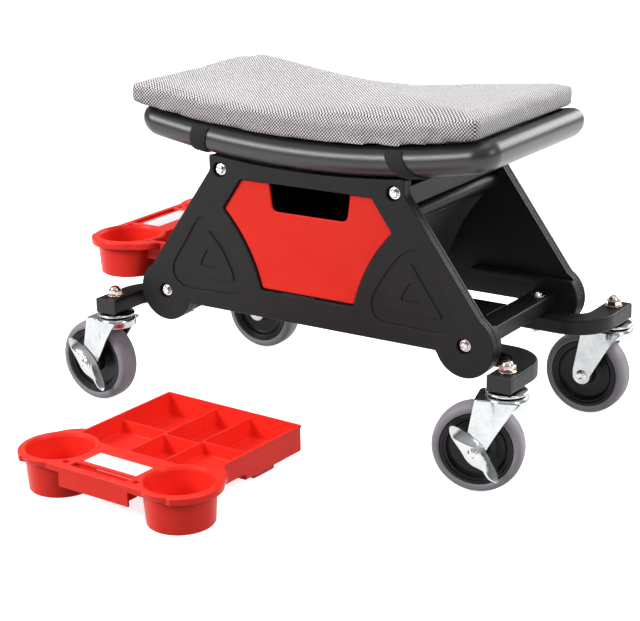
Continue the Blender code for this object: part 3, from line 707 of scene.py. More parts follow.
def window_outline(grow=0.0, drop=0.0, turn=0.0035):
    """The window's outline, made larger or smaller, with its lower edge let down."""
    soft = 0.0040
    shoulder = (0.1135 + grow, 0.2585)
    foot = (0.0625 + grow, 0.1693 - grow - drop)
    corner = (0.0875 + grow, WINDOW_TOP + grow)
    sides = bowed(shoulder, foot, -0.0070, 14)
    above, below = (0.0, corner[1]), (0.0, foot[1])
    near_shoulder = rounded([corner, shoulder, sides[0]], [0.0, soft, 0.0], 5)[1:-1]
    near_foot = rounded([sides[-1], foot, below], [0.0, soft, 0.0], 5)[1:-1]
    near_top = rounded([above, corner, shoulder], [0.0, turn, 0.0], 4)[1:-1]
    half = [above] + near_top + near_shoulder + sides + near_foot + [below]
    return mirrored(thinned(half))


RELIEF_OUTER = [(0.1410, 0.2442), (0.1310, 0.2402), (0.1225, 0.2340), (0.1095, 0.2190), (0.0970, 0.2005),
                (0.0890, 0.1868), (0.0866, 0.1770), (0.0882, 0.1670), (0.0930, 0.1608), (0.1010, 0.1572),
                (0.1150, 0.1563), (0.1400, 0.1557), (0.1640, 0.1551), (0.1760, 0.1567), (0.1850, 0.1622),
                (0.1897, 0.1702), (0.1897, 0.1790), (0.1850, 0.1895), (0.1708, 0.2105), (0.1600, 0.2275),
                (0.1530, 0.2380), (0.1480, 0.2427)]
RELIEF_MIDDLE = [(0.1365, 0.2300), (0.1775, 0.1708), (0.1005, 0.1712), (0.1040, 0.1850), (0.1165, 0.2090)]
RELIEF_MIDDLE_SOFT = [0.0035, 0.0030, 0.0040, 0.0400, 0.0600]
RELIEF_INNER = [(0.1370, 0.2095), (0.1505, 0.1850), (0.1225, 0.1850)]
RELIEF_INNER_SOFT = [0.0040, 0.0040, 0.0042]


def relief(corners, softness, side_x, grow=0.0):
    """A relief's outline on either side, from its corners or along a smooth curve."""
    corners = [(side_x * x, z) for x, z in corners]
    loop = rounded(corners, softness, 10) if softness else curve_through(corners, 4)
    return offset(facing(thinned(loop), False), -grow)


def curve_through(points, steps):
    """A smooth closed curve through points."""
    count = len(points)
    loop = []
    for index in range(count):
        a, b, c, d = [Vector(points[(index + shift) % count]) for shift in (-1, 0, 1, 2)]
        for step in range(steps):
            loop.append(tuple(spline(a, b, c, d, step / steps)))
    return loop


def spline(a, b, c, d, t):
    """A point between b and c on the curve that runs through all four."""
    return b + ((c - a) * t + (a * 2.0 - b * 5.0 + c * 4.0 - d) * t * t
                + (b * 3.0 - a - c * 3.0 + d) * t * t * t) * 0.5


def bolt_places():
    """The four bolts of a side panel: a name, and a place across and up."""
    return (("top_left", -TOP_BOLT[0], TOP_BOLT[1]), ("top_right", TOP_BOLT[0], TOP_BOLT[1]),
            ("foot_left", -LOBE[0], LOBE[1]), ("foot_right", LOBE[0], LOBE[1]))


def towards(side):
    """From a plate on +Y to the same one on either side."""
    return Matrix.Scale(side, 4, (0.0, 1.0, 0.0))


def cover(name, side):
    """The outer cover: window, bolt pockets and a stepped relief at each end."""
    face = PANEL_FACE
    back = PANEL_FACE - COVER_THICK
    holes = [window_outline(0.0, WINDOW_DROP)]
    for _, x, z in bolt_places():
        holes.append(arc((x, z), POCKET_RADIUS, 0.0, 350.0, 35))
    for side_x in (-1, 1):
        holes.append(relief(RELIEF_OUTER, None, side_x))
    shape = plate([panel_outline()] + holes, back, face, 0.0013, 0.0005, 4, "Y")
    for side_x in (-1, 1):
        floor = relief(RELIEF_OUTER, None, side_x, 0.0004)
        shape.merge(plate([floor], back + 0.0002, face - 0.0018, 0.0001, 0.0001, 1, "Y"))
        raised = relief(RELIEF_MIDDLE, RELIEF_MIDDLE_SOFT, side_x)
        sunk = relief(RELIEF_INNER, RELIEF_INNER_SOFT, side_x)
        shape.merge(plate([raised, sunk], face - 0.0022, face - 0.0004, 0.0006, 0.0001, 3, "Y"))
    lip = rounded(rectangle((-0.0340, 0.0120), (0.1660, 0.1696)), 0.0005, 2)
    shape.merge(plate([lip], back + 0.0004, face - 0.0002, 0.0004, 0.0002, 2, "Y"))
    piece(name + "_shell", shape.place(towards(side)), BLACK, "stool",
          [name + "_cover"])


def lobe_outline(side_x):
    """The thick foot's outline, cut off level with the ledge."""
    rise = LEDGE_TOP - LOBE[1]
    radius = LOBE_RADIUS - 0.0006
    angle = math.degrees(math.asin(rise / radius))
    return arc((side_x * LOBE[0], LOBE[1]), radius, 180.0 - angle, 360.0 + angle, 44)


def inner_panel(name, side):
    """The inner panel in two halves with a thin groove between them, and its thick feet."""
    outer = PANEL_FACE - COVER_THICK - 0.0003
    inner = PANEL_FACE - PANEL_THICK
    middle = (outer + inner) / 2.0 - 0.0003
    shape = Shape()
    holes = [window_outline(0.0, WINDOW_DROP)]
    for _, x, z in bolt_places():
        holes.append(arc((x, z), 0.0048, 0.0, 345.0, 23))
    loops = [panel_outline(0.0004)] + holes
    # The edge walls of both halves take the second finish: the black plastic painted lighter grey as a
    # highlight
    shape.merge(plate(loops, middle + 0.00035, outer, 0.0006, 0.0006, 3, "Y", 1))
    shape.merge(plate([panel_outline(0.0016)] + holes, middle - 0.0008, middle + 0.0008,
                      0.0001, 0.0001, 1, "Y"))
    shape.merge(plate(loops, inner, middle - 0.00035, 0.0006, 0.0006, 3, "Y", 1))
    boss = PANEL_FACE - BOSS_THICK
    for side_x in (-1, 1):
        shape.merge(plate([lobe_outline(side_x)], boss, inner + 0.0008, 0.0002, 0.0018, 4, "Y"))
        ends = sorted((side_x * 0.1000, side_x * (LOBE[0] - 0.020)))
        ledge = block(ends, (inner - 0.0110, inner + 0.0010),
                      (LEDGE_TOP - 0.0060, LEDGE_TOP - 0.0002))
        shape.merge(softened(ledge, 0.0008, 2))
    # The second finish goes on the edge walls: black plastic painted lighter grey as a highlight
    piece(name + "_liner", shape.place(towards(side)), [BLACK, PAINTED_LIT_EDGE], "stool",
          [name + "_inner_panel"])


def hexagon(radius, turn=0.0):
    """A hexagon's corners."""
    return arc((0.0, 0.0), radius, turn, turn + 300.0, 5)


def panel_bolt(name, side, x, z, length, node, turn):
    """A hex bolt and its washer, lying in its pocket."""
    washer = lathe(eased([(0.0, 0.0001), (0.0068, 0.0001), (0.0068, 0.0013), (0.0, 0.0013)],
                         0.0004, 3), 48)
    collar = lathe(eased([(0.0, 0.0011), (0.0054, 0.0011), (0.0052, 0.0018), (0.0044, 0.0022),
                          (0.0, 0.0022)], 0.0004, 3), 40)
    head = plate([rounded(hexagon(0.0048, turn), 0.0005, 3)], 0.0016, 0.0050, 0.0007, 0.0001, 4)
    dome = lathe(eased([(0.0, 0.0040), (0.0034, 0.0040), (0.0030, 0.0053), (0.0016, 0.0055),
                        (0.0012, 0.0049), (0.0, 0.0049)], 0.0004, 3), 32)
    shank = lathe([(0.0, -length), (0.0034, -length), (0.0040, -length + 0.0006), (0.0040, 0.0010),
                   (0.0, 0.0010)], 24)
    shape = washer.merge(collar).merge(head).merge(dome).merge(shank)
    shape.place(Matrix.Rotation(math.radians(-90.0), 4, "X"))
    back = PANEL_FACE - COVER_THICK
    shape.place(Matrix.Translation((x, back, z)))
    piece(name, shape.place(towards(side)), BOLT, "stool", [node])


def side_parts(name, side):
    """One side panel with its bolts."""
    cover(name, side)
    inner_panel(name, side)
    for index, (place, x, z) in enumerate(bolt_places()):
        depth = BOSS_THICK if place.startswith("foot") else PANEL_THICK
        panel_bolt(name + "_screw_" + place, side, x, z, depth - COVER_THICK + 0.009,
                   name + "_bolt_" + place, 11.0 + 23.0 * index)


# --- drawer -------------------------------------------------------------------
def drawer():
    """The drawer: red faces on a black trough with the same outline."""
    low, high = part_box("drawer")
    front = (high.y - low.y) / 2.0
    outline = window_outline(-0.0007)
    top = WINDOW_TOP - 0.0007
    foot = top - 0.0322
    notch = rounded([(-0.0520, top + 0.0300), (-0.0460, foot), (0.0545, foot), (0.0634, top + 0.0300)],
                    [0.0, 0.0085, 0.0100, 0.0], 7)
    faces = Shape()
    for loop, side in ((notched(outline, notch, top), -1), (outline, 1)):
        face = plate([loop], front - 0.0042, front - 0.0012, 0.0009, 0.0006, 4, "Y")
        faces.merge(face.place(towards(side)))
    piece("drawer_faces", faces, RED, "drawer")
    skin = window_outline(-0.0012, turn=0.0015)
    lining = offset(facing(thinned(skin), False), 0.0030)
    trough = trough_wall(skin, lining, -front + 0.0040, front - 0.0040, top - 0.0005)
    piece("drawer_trough", trough, BLACK, "drawer", ["drawer"])


def notched(outline, cut, top):
    """An outline with a notch let into its top edge; the cut runs left to right."""
    keep = [point for point in facing(thinned(outline), False)
            if not (point[1] > top - 0.0004 and abs(point[0]) < 0.07)]
    inside = [point for point in cut if point[1] < top - 0.0012]
    softness = [0.0, 0.0012, 0.0]
    entry_right = rounded([(cut[-1][0] + 0.02, top), (notch_at(cut[-1], cut[-2], top), top), inside[-1]],
                          softness, 3)[1:-1]
    entry_left = rounded([inside[0], (notch_at(cut[0], cut[1], top), top), (cut[0][0] - 0.02, top)],
                         softness, 3)[1:-1]
    insert = entry_right + list(reversed(inside)) + entry_left
    result = []
    for index, here in enumerate(keep):
        after = keep[(index + 1) % len(keep)]
        result.append(here)
        along_top = min(here[1], after[1]) > top - 0.003
        if along_top and here[0] > 0.05 > -0.05 > after[0]:
            result += insert
    return result


def notch_at(above, below, top):
    """Where the notch's side, from above to below the top edge, meets that edge."""
    (x0, z0), (x1, z1) = above, below
    return x0 + (x1 - x0) * (z0 - top) / (z0 - z1)


def trough_wall(outer, inner, low, high, top):
    """A trough along Y, open on top, from an outer and an inner outline."""
    def below(loop, edge):
        """The part of a loop below an edge, in order from left to right."""
        kept = [(x, top if z > edge else z) for x, z in loop if z < edge or abs(x) > 0.0820]
        kept.sort(key=lambda p: math.atan2(p[1] - top - 0.0200, p[0]) % (2.0 * math.pi))
        return thinned(kept)

    skin = below(outer, top - 0.0005) + list(reversed(below(inner, top - 0.0035)))
    return plate([skin], low, high, 0.0004, 0.0004, 1, "Y")


# --- seat -----------------------------------------------------------------------
def seat_height(x):
    """How high the middle of the pan's rim is, across the stool."""
    return SEAT_LOW + x * x / (2.0 * SEAT_CURVE)


def seat_loop(half_x, half_y, corner, height, along=26, around=12, across=12, shift=PAN_SHIFT):
    """A closed loop around the seat, at a height above its curve; the shift moves both its ends."""
    inner_x, inner_y = half_x - corner, half_y - corner
    points = []
    for side_x, side_y, start in ((1, 1, 0.0), (-1, 1, 90.0), (-1, -1, 180.0), (1, -1, 270.0)):
        points += arc((side_x * inner_x, side_y * inner_y), corner, start, start + 90.0, around)
        here = points[-1]
        if start in (0.0, 180.0):
            for step in range(1, along):
                points.append((here[0] - side_x * 2.0 * inner_x * step / along, here[1]))
        else:
            for step in range(1, across):
                points.append((here[0], here[1] - side_y * 2.0 * inner_y * step / across))
    points = [(x + shift * (x / half_x) ** 2, y) for x, y in points]
    return [(x, y, seat_height(x) + height) for x, y in points]


def loft(levels):
    """The skin between loops, one above the other."""
    points = [point for loop in levels for point in loop]
    return Shape().add(points, bands(len(levels), len(levels[0])))


def seat_pan():
    """The pan: a plate with a rolled rim that stands up around the cushion."""
    profile = [(0.0460, 0.0125), (0.0330, 0.0126), (0.0290, 0.0132)]
    for step in range(29):
        angle = math.radians(64.0 + 232.0 * step / 28)
        profile.append((RIM_RADIUS * (1.0 + math.cos(angle)), RIM_RADIUS * math.sin(angle)))
    profile += [(0.0270, -0.0135), (0.0290, -0.0060), (0.0310, 0.0060), (0.0340, 0.0085), (0.0460, 0.0085)]
    levels = []
    for inset, height in profile:
        levels.append(seat_loop(SEAT_HALF[0] - inset, SEAT_HALF[1] - inset,
                                max(SEAT_CORNER - inset, 0.0012), height))
    shape = loft(levels)
    columns = 26
    for rim, (_, height) in ((levels[0], profile[0]), (levels[-1], profile[-1])):
        left_x, right_x = min(p[0] for p in rim), max(p[0] for p in rim)
        inner_y = max(p[1] for p in rim)
        points = []
        for step in range(columns + 1):
            x = left_x + (right_x - left_x) * step / columns
            points += [(x, y, seat_height(x) + height) for y in (-inner_y, inner_y)]
        shape.add(points, bands(columns + 1, 2, False))
    piece("pan", shape, RIM, "stool", ["seat_pan"], sharp=50.0)


def cushion():
    """Foam in tweed: inflated a little by a cloth simulation, then eased."""
    thick = CUSHION_THICK - 0.0010
    bottom = RIM_RADIUS + 0.0012
    half_x, half_y = CUSHION_HALF[0] + 0.0005, CUSHION_HALF[1] - 0.0005
    levels = []
    profile = [(0.0050, 0.0), (0.0014, 0.0006), (0.0002, 0.0020), (0.0, 0.0050), (0.0, thick * 0.5),
               (0.0, thick - 0.0036), (0.0004, thick - 0.0014), (0.0018, thick - 0.0002),
               (0.0050, thick)]
    for inset, height in profile:
        levels.append(seat_loop(half_x - inset, half_y - inset, max(0.0070 - inset, 0.0020),
                                bottom + height, 44, 8, 22, 0.0))
    points = [point for loop in levels for point in loop]
    body = linked("cushion", mesh_from(capped(points, len(levels), len(levels[0])), "cushion"))
    body.matrix_world = Matrix.Translation(STOOL)
    remesh = body.modifiers.new("even", "REMESH")
    remesh.mode = "VOXEL"
    remesh.voxel_size = 0.0042
    even = applied(body)
    start = [vertex.co.copy() for vertex in even.vertices]
    even = inflated(even)
    for rest, vertex in zip(start, even.vertices):
        shift = vertex.co - rest
        if shift.length > CUSHION_CAP:
            shift = shift.normalized() * CUSHION_CAP
        height = rest.z - seat_height(rest.x) - bottom
        shift.z *= min(max(height / thick, 0.0), 1.0)
        vertex.co = rest + shift
    cushion_details(even, half_x, half_y, bottom, thick)
    made = linked("cushion", even)
    smooth = made.modifiers.new("finer", "SUBSURF")
    smooth.levels = 1
    smooth.render_levels = 1
    padded = piece("cushion", applied(made), FABRIC, "stool", ["seat_cushion"], sharp=180.0,
                   weighted=False)


def inflated(mesh):
    """The mesh after a short cloth simulation under pressure."""
    body = linked("foam", mesh)
    cloth = body.modifiers.new("cloth", "CLOTH")
    settings = cloth.settings
    settings.quality = 6
    settings.mass = 0.3
    settings.tension_stiffness = 40.0
    settings.compression_stiffness = 40.0
    settings.shear_stiffness = 20.0
    settings.bending_stiffness = 6.0
    settings.use_pressure = True
    settings.uniform_pressure_force = 4.0
    settings.effector_weights.gravity = 0.0
    last = 20
    cloth.point_cache.frame_start = SCENE.frame_start = 1
    cloth.point_cache.frame_end = SCENE.frame_end = last
    for step in range(1, last + 1):
        SCENE.frame_set(step)
    graph = bpy.context.evaluated_depsgraph_get()
    result = bpy.data.meshes.new_from_object(body.evaluated_get(graph))
    bpy.data.objects.remove(body)
    SCENE.frame_set(1)
    return result


def cushion_details(mesh, half_x, half_y, bottom, thick):
    """Seams at the corners, the straps' pull, and small unevenness in the foam."""
    for vertex in mesh.vertices:
        p = vertex.co
        height = p.z - seat_height(p.x) - bottom
        share = min(max(height / thick, 0.0), 1.0)
        bump = noise.noise(Vector((p.x * 18.0, p.y * 18.0, 3.7)))
        fine = noise.noise(Vector((p.x * 55.0, p.y * 55.0, p.z * 55.0)))
        p.z += (0.0011 * bump + 0.0004 * fine) * share
        edge_y = half_y - abs(p.y)
        edge_x = half_x - abs(p.x)
        if edge_y < 0.012:
            p.y += 0.0005 * fine * (1.0 if p.y > 0.0 else -1.0)
        corner = math.hypot(max(edge_x, 0.0), max(edge_y, 0.0))
        if corner < 0.010:
            pull = 0.0012 * (1.0 - corner / 0.010) ** 2
            p.x -= math.copysign(pull, p.x)
            p.y -= math.copysign(pull, p.y)
        p.z += 0.0030 * share * max(0.0, p.x / half_x) ** 3 * max(0.0, -p.y / half_y) ** 2
        for strap in STRAPS:
            near = abs(p.x - strap[1]) / 0.020
            if near < 1.0 and edge_y < 0.010:
                p.z -= 0.0012 * (1.0 - near * near) * (1.0 - share)
        left = max(0.0, -p.x / half_x) ** 2
        front = (1.0 - p.y / half_y) / 2.0
        right = max(0.0, p.x / half_x) ** 2
        back = max(0.0, p.y / half_y)
        x = p.x - (0.0052 + 0.0018 * back) * right - 0.0014 * left
        p.y -= 0.0012 * right * back
        height = p.z - seat_height(p.x)
        p.x = x - 0.0080 * left
        p.y -= left * (0.0095 * front - 0.0015)
        p.z = seat_height(p.x) + height


def strap_course(slant):
    """A strap's course from edge to edge of the stool, as (y, up from the seat's curve, slant)."""
    reach = RIM_RADIUS + 0.0007
    rim_y = SEAT_HALF[1] - RIM_RADIUS
    half = []
    for step in range(20):
        angle = math.radians(40.0 + 132.0 * step / 19)
        share = step / 19.0
        half.append((-rim_y - reach * math.sin(angle), reach * math.cos(angle), slant * share ** 1.4))
    end_y, end_z, _ = half[-1]
    half += [(end_y - end_y * step / 8.0, end_z - 0.0002, slant) for step in range(1, 8)]
    return half + [(0.0, end_z - 0.0002, slant)] + [(-y, z, shift) for y, z, shift in reversed(half)]


def straps():
    """Elastic bands from under the cushion, around the rim and across below."""
    width, thick, across = 0.0215, 0.0016, 8
    flat_y = (SEAT_HALF[1] - RIM_RADIUS) * 0.9
    for name, top_x, slant in STRAPS:
        course = strap_course(slant)
        points = []
        for index, (y, z, shift) in enumerate(course):
            before = course[max(index - 1, 0)]
            after = course[min(index + 1, len(course) - 1)]
            way = Vector((after[0] - before[0], after[1] - before[1])).normalized()
            out = Vector((-way.y, way.x))
            if abs(y) <= flat_y:
                out = Vector((0.0, -1.0))
            elif out.dot(Vector((y, z))) < 0.0:
                out = -out
            for side in (0, 1):
                for step in range(across + 1):
                    share = step / across if side == 0 else 1.0 - step / across
                    x = top_x + shift + width * (share - 0.5)
                    edge = 1.0 - (2.0 * abs(share - 0.5)) ** 6
                    lift = thick * (0.25 + 0.75 * edge) * side
                    points.append((x, y + out.x * lift, seat_height(x) + z + out.y * lift))
        piece(name + "_band", capped(points, len(course), 2 * (across + 1)), ELASTIC, "stool",
              [name], sharp=60.0, weighted=False)


# --- undercarriage ----------------------------------------------------------------
def tube(name, node, along, radius=0.0022, wall=0.0020):
    """A square tube in the place of its node, with rounded corners and open ends."""
    low, high = [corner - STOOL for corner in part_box(node)]
    x_span, y_span = (low.x, high.x), (low.y, high.y)
    cross, length = (x_span, y_span) if along == "Y" else (y_span, x_span)
    outer = rounded(rectangle(cross, (low.z, high.z)), radius, 4)
    inner = offset(facing(outer, False), wall)
    shape = plate([outer, inner], length[0], length[1], 0.0003, 0.0003, 1, along)
    piece(name, shape, STEEL, "stool", [node])


def undercarriage():
    """The tubes between the side panels, and the rods above them."""
    for side in ("left", "right"):
        tube(side + "_cross_member", side + "_cross_tube", "Y")
        tube(side + "_seat_stay", side + "_stay_tube", "Y")
        low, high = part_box(side + "_stay_rod")
        middle = (low + high) / 2.0
        radius = (high.z - low.z) / 2.0
        half = (high.y - low.y) / 2.0
        rod = lathe([(0.0, -half), (radius - 0.0006, -half), (radius, -half + 0.0006),
                     (radius, half - 0.0006), (radius - 0.0006, half), (0.0, half)], 48, "Y")
        piece(side + "_round_stay", rod, STEEL, "stool", [side + "_stay_rod"],
              Matrix.Translation(middle))
    tube("middle_beam", "middle_rail", "X")


def arms():
    """Bent tubes out to the casters, with a cap in each end."""
    low, high = ARM_Z
    start, bend, end = 0.1860, 0.0340, 0.1470
    in_y, out_x = 0.0675, 0.2660
    half = 0.0145
    path = [(start, in_y)] + arc((out_x - bend, in_y + bend), bend, -90.0, 0.0, 18) + [(out_x, end)]
    section = rounded(rectangle((-half, half), (low, high)), 0.0026, 4)
    for name, side_x, side_y in CORNERS:
        shape = sweep([(side_x * x, side_y * y, 0.0) for x, y in path], section)
        piece(name + "_outrigger", shape, STEEL, "stool", [name + "_arm"], sharp=45.0)
        middle = side_x * out_x
        loop = rounded(rectangle((middle - half - 0.0002, middle + half + 0.0002),
                                 (low - 0.0002, high + 0.0002)), 0.0024, 4)
        y_span = sorted((side_y * (end + 0.0003), side_y * (end + 0.0037)))
        cap = plate([loop], y_span[0], y_span[1], 0.0011, 0.0011, 4, "Y")
        piece(name + "_end_cap", cap, CAP, "stool", [name + "_arm_cap"])


def dome_bolts():
    """Round-headed bolts that hold each arm to its cross tube."""
    top, low = 0.1535, ARM_Z[0]
    for name, side_x, side_y in CORNERS:
        head = lathe(eased([(0.0, top - 0.0002), (0.0098, top - 0.0002), (0.0098, top + 0.0012),
                            (0.0068, top + 0.0014), (0.0060, top + 0.0036), (0.0030, top + 0.0050),
                            (0.0, top + 0.0052)], 0.0008, 3), 40)
        nut = plate([rounded(hexagon(0.0062, 20.0), 0.0004, 2)], low - 0.0052, low + 0.0002,
                    0.0006, 0.0006, 3)
        end = lathe(eased([(0.0, low - 0.0080), (0.0030, low - 0.0080), (0.0036, low - 0.0072),
                           (0.0036, low - 0.0040), (0.0, low - 0.0040)], 0.0004, 2), 24)
        shape = head.merge(nut).merge(end)
        shape.place(Matrix.Translation((side_x * 0.1975, side_y * 0.0700, 0.0)))
        piece(name + "_arm_bolt", shape, BOLT, "stool")


# --- casters ------------------------------------------------------------------------
def joint_at(name):
    """Where a joint is."""
    return Vector(next(joint["pos_m"] for joint in frame["joints"] if joint["name"] == name))


def crown_y(x):
    """How far out the crown's edge is, beside a leg."""
    return math.sqrt(max(CROWN_RADIUS ** 2 - x * x, 0.0))


def leg_sides(z, top, eye):
    """The back and front edge of a leg at a height."""
    if z < WHEEL_RADIUS:
        half = math.sqrt(max(eye ** 2 - (z - WHEEL_RADIUS) ** 2, 0.0)) + 0.00005
        return TRAIL + half, TRAIL - half
    share = (top - z) / (top - WHEEL_RADIUS)
    back = 0.0310 + (TRAIL + eye - 0.0310) * min(share * 1.12, 1.0)
    front = -0.0175 + (TRAIL - eye + 0.0175) * share ** 0.86
    return back, front


def fork_leg(side):
    """A pressed leg: a flat strip down to the axle, and a web that bulges out to the crown."""
    fold, eye = 0.0150, 0.0106
    top = CROWN_TOP - 0.0034
    rows = [top - (top - WHEEL_RADIUS) * step / 30 for step in range(31)]
    rows += [WHEEL_RADIUS - eye * math.sin(math.radians(8.95 * step)) for step in range(1, 11)]
    columns = 22
    points = []
    for z in rows:
        back, front = leg_sides(z, top, eye)
        lift = max(0.0, min(1.0, (z - 0.0560) / (top - 0.0600)))
        lift = lift * lift * (3.0 - 2.0 * lift)
        for skin in (LEG_SHEET, 0.0):
            for column in range(columns + 1):
                x = back + (front - back) * column / columns
                flare = 0.0
                if x < fold:
                    reach = crown_y(max(x, -0.0060)) - LEG_FACE - LEG_SHEET
                    step = min(1.0, (fold - x) / 0.0060)
                    flare = max(reach, 0.0) * lift * step * step * (3.0 - 2.0 * step)
                    rim = max(0.0, 1.0 - (x - front) / 0.0030)
                    flare += 0.0007 * rim * rim * (0.3 + 0.7 * lift)
                points.append((x, side * (LEG_FACE + flare + skin), z))
    width = columns + 1
    faces = []
    for row in range(len(rows) - 1):
        base, below = row * 2 * width, (row + 1) * 2 * width
        for column in range(columns):
            faces.append([base + column, base + column + 1, below + column + 1, below + column])
            faces.append([base + width + column, below + width + column,
                          below + width + column + 1, base + width + column + 1])
        faces.append([base, below, below + width, base + width])
        faces.append([base + columns, base + width + columns, below + width + columns, below + columns])
    for row in (0, len(rows) - 1):
        base = row * 2 * width
        for column in range(columns):
            faces.append([base + column, base + width + column,
                          base + width + column + 1, base + column + 1])
    return Shape().add(points, faces)


def fork_shape():
    """The fork: a dished crown, its flat over the wheel, and two legs."""
    top, radius = CROWN_TOP, CROWN_RADIUS
    crown = lathe(eased([(0.0074, top), (radius - 0.0042, top), (radius - 0.0016, top - 0.0008),
                         (radius, top - 0.0034), (radius, top - 0.0112), (radius - 0.0026, top - 0.0112),
                         (radius - 0.0026, top - 0.0050), (radius - 0.0050, top - 0.0034),
                         (0.0074, top - 0.0034)], 0.0012, 3), 64)
    outline = rounded(rectangle((-0.0020, 0.0322), (-0.0196, 0.0196)), [0.0, 0.0055, 0.0055, 0.0], 6)
    flat = plate([outline], top - 0.0052, top - 0.0024, 0.0012, 0.0006, 3)
    return [crown, flat, fork_leg(-1), fork_leg(1)]


def swivel_plate(name, at):
    """The fixed plate above the fork: a dished disc, its race, and the stem."""
    low, top = CROWN_TOP + 0.0017, ARM_Z[0] - 0.0003
    disc = lathe(eased([(0.0, low), (0.0208, low), (0.0224, low + 0.0004), (0.0226, low + 0.0022),
                        (0.0214, low + 0.0032), (0.0172, low + 0.0036), (0.0120, top - 0.0004),
                        (0.0060, top), (0.0060, 0.1420), (0.0, 0.1420)], 0.0006, 3), 56)
    race = lathe(eased([(0.0, CROWN_TOP + 0.0002), (0.0178, CROWN_TOP + 0.0002),
                        (0.0178, low + 0.0004), (0.0, low + 0.0004)], 0.0002, 1), 40)
    piece(name + "_top_race", disc, ZINC, "stool", [name + "_swivel_plate"], at)
    piece(name + "_race_seal", race, CORE, "stool", (), at)


def stem_nut(name, at, turn):
    """The nut with a domed cap that holds the stem to the arm."""
    low = ARM_Z[1] + 0.0003
    washer = lathe(eased([(0.0, low), (0.0100, low), (0.0100, low + 0.0012), (0.0, low + 0.0012)],
                         0.0004, 3), 40)
    body = plate([rounded(hexagon(0.0092, turn), 0.0006, 3)], low + 0.0010, low + 0.0072,
                 0.0011, 0.0008, 4)
    dome = lathe(eased([(0.0, low + 0.0060), (0.0070, low + 0.0060), (0.0068, low + 0.0080),
                        (0.0052, low + 0.0108), (0.0028, low + 0.0120), (0.0, low + 0.0122)],
                       0.0016, 4), 40)
    piece(name + "_cap_nut", washer.merge(body).merge(dome), NUT, "stool",
          [name + "_stem_nut"], at)


def two_sided(half, steps):
    """A wheel's part from the profile of its +Y half."""
    return lathe(half + [(x, -y) for x, y in reversed(half)], steps, "Y")


def wheel_core(name, body, at):
    """The core: a stepped rim, a dished web and a hub, the same on both sides."""
    side = [(0.0043, 0.0165), (0.0098, 0.0165), (0.0116, 0.0150), (0.0134, 0.0058), (0.0200, 0.0046),
            (0.0300, 0.0060), (0.0325, 0.0086), (0.0334, 0.0108), (0.0360, 0.0112), (0.0366, 0.0126),
            (0.0392, 0.0130), (0.0399, 0.0122)]
    core = two_sided(eased(side, 0.0010, 3), 72)
    piece(name + "_hub_disc", core, CORE, body, [name + "_wheel_core"], at)


def tyre(name, body, at):
    """A solid tyre with round shoulders and a shallow bead line on each side."""
    side = [(0.0402, 0.0118), (0.0404, 0.0133), (0.0414, 0.0140), (0.0440, 0.0140), (0.0466, 0.0132),
            (0.0486, 0.0106), (0.0496, 0.0078), (0.0500, 0.0040)]
    tread = two_sided(eased(side, 0.0016, 4), 96)
    piece(name + "_tread", tread, TYRE, body, [name + "_tyre"], at)


def axle(name, body, at, outside, braked):
    """The axle: a bolt through both legs, with a flanged head and a nut."""
    leg = 0.0200
    head = PEDAL_FACE + 0.0002 if braked else leg
    shape = lathe(eased([(0.0, -leg - 0.0044), (0.0034, -leg - 0.0044), (0.0040, -leg - 0.0036),
                         (0.0040, head + 0.0006), (0.0, head + 0.0006)], 0.0005, 2), 32, "Y")
    button = [(0.0, head), (0.0066, head), (0.0066, head + 0.0009), (0.0050, head + 0.0016),
              (0.0048, head + 0.0030), (0.0040, head + 0.0036), (0.0030, head + 0.0036),
              (0.0024, head + 0.0026), (0.0, head + 0.0026)]
    shape.merge(lathe(eased(button, 0.0004, 2), 40, "Y"))
    nut = rounded(hexagon(0.0066, 40.0), 0.0005, 2)
    shape.merge(plate([nut], -leg - 0.0040, -leg, 0.0003, 0.0008, 3, "Y"))
    if outside < 0:
        shape.place(towards(-1))
    piece(name + "_axle_bolt", shape, BOLT, body, [name + "_axle"], at)


# The pedal's fold and its two edges, from one tip to the other, each as (along, up)
PEDAL_FOLD = ((-0.0248, 0.0284), (-0.0240, 0.0225), (-0.0210, 0.0165), (-0.0133, 0.0126),
              (-0.0050, 0.0098), (0.0025, 0.0068), (0.0080, 0.0010), (0.0102, -0.0060),
              (0.0115, -0.0130), (0.0140, -0.0205), (0.0185, -0.0262), (0.0248, -0.0293))
PEDAL_NEAR = ((-0.0262, 0.0282), (-0.0256, 0.0218), (-0.0226, 0.0152), (-0.0172, 0.0076),
              (-0.0122, 0.0004), (-0.0078, -0.0068), (-0.0020, -0.0122), (0.0050, -0.0155),
              (0.0102, -0.0182), (0.0127, -0.0226), (0.0172, -0.0278), (0.0245, -0.0307))
PEDAL_FAR = ((-0.0232, 0.0298), (-0.0182, 0.0276), (-0.0132, 0.0244), (-0.0076, 0.0208),
             (-0.0016, 0.0160), (0.0048, 0.0108), (0.0102, 0.0044), (0.0144, -0.0026),
             (0.0182, -0.0096), (0.0222, -0.0162), (0.0252, -0.0222), (0.0262, -0.0282))


def spline_along(points, share):
    """A point on a smooth open curve, from its start at 0 to its end at 1."""
    last = len(points) - 1
    spot = min(share, 0.99999) * last
    index = int(spot)
    a, b, c, d = [Vector(points[min(max(index + shift, 0), last)]) for shift in (-1, 0, 1, 2)]
    return spline(a, b, c, d, spot - index)


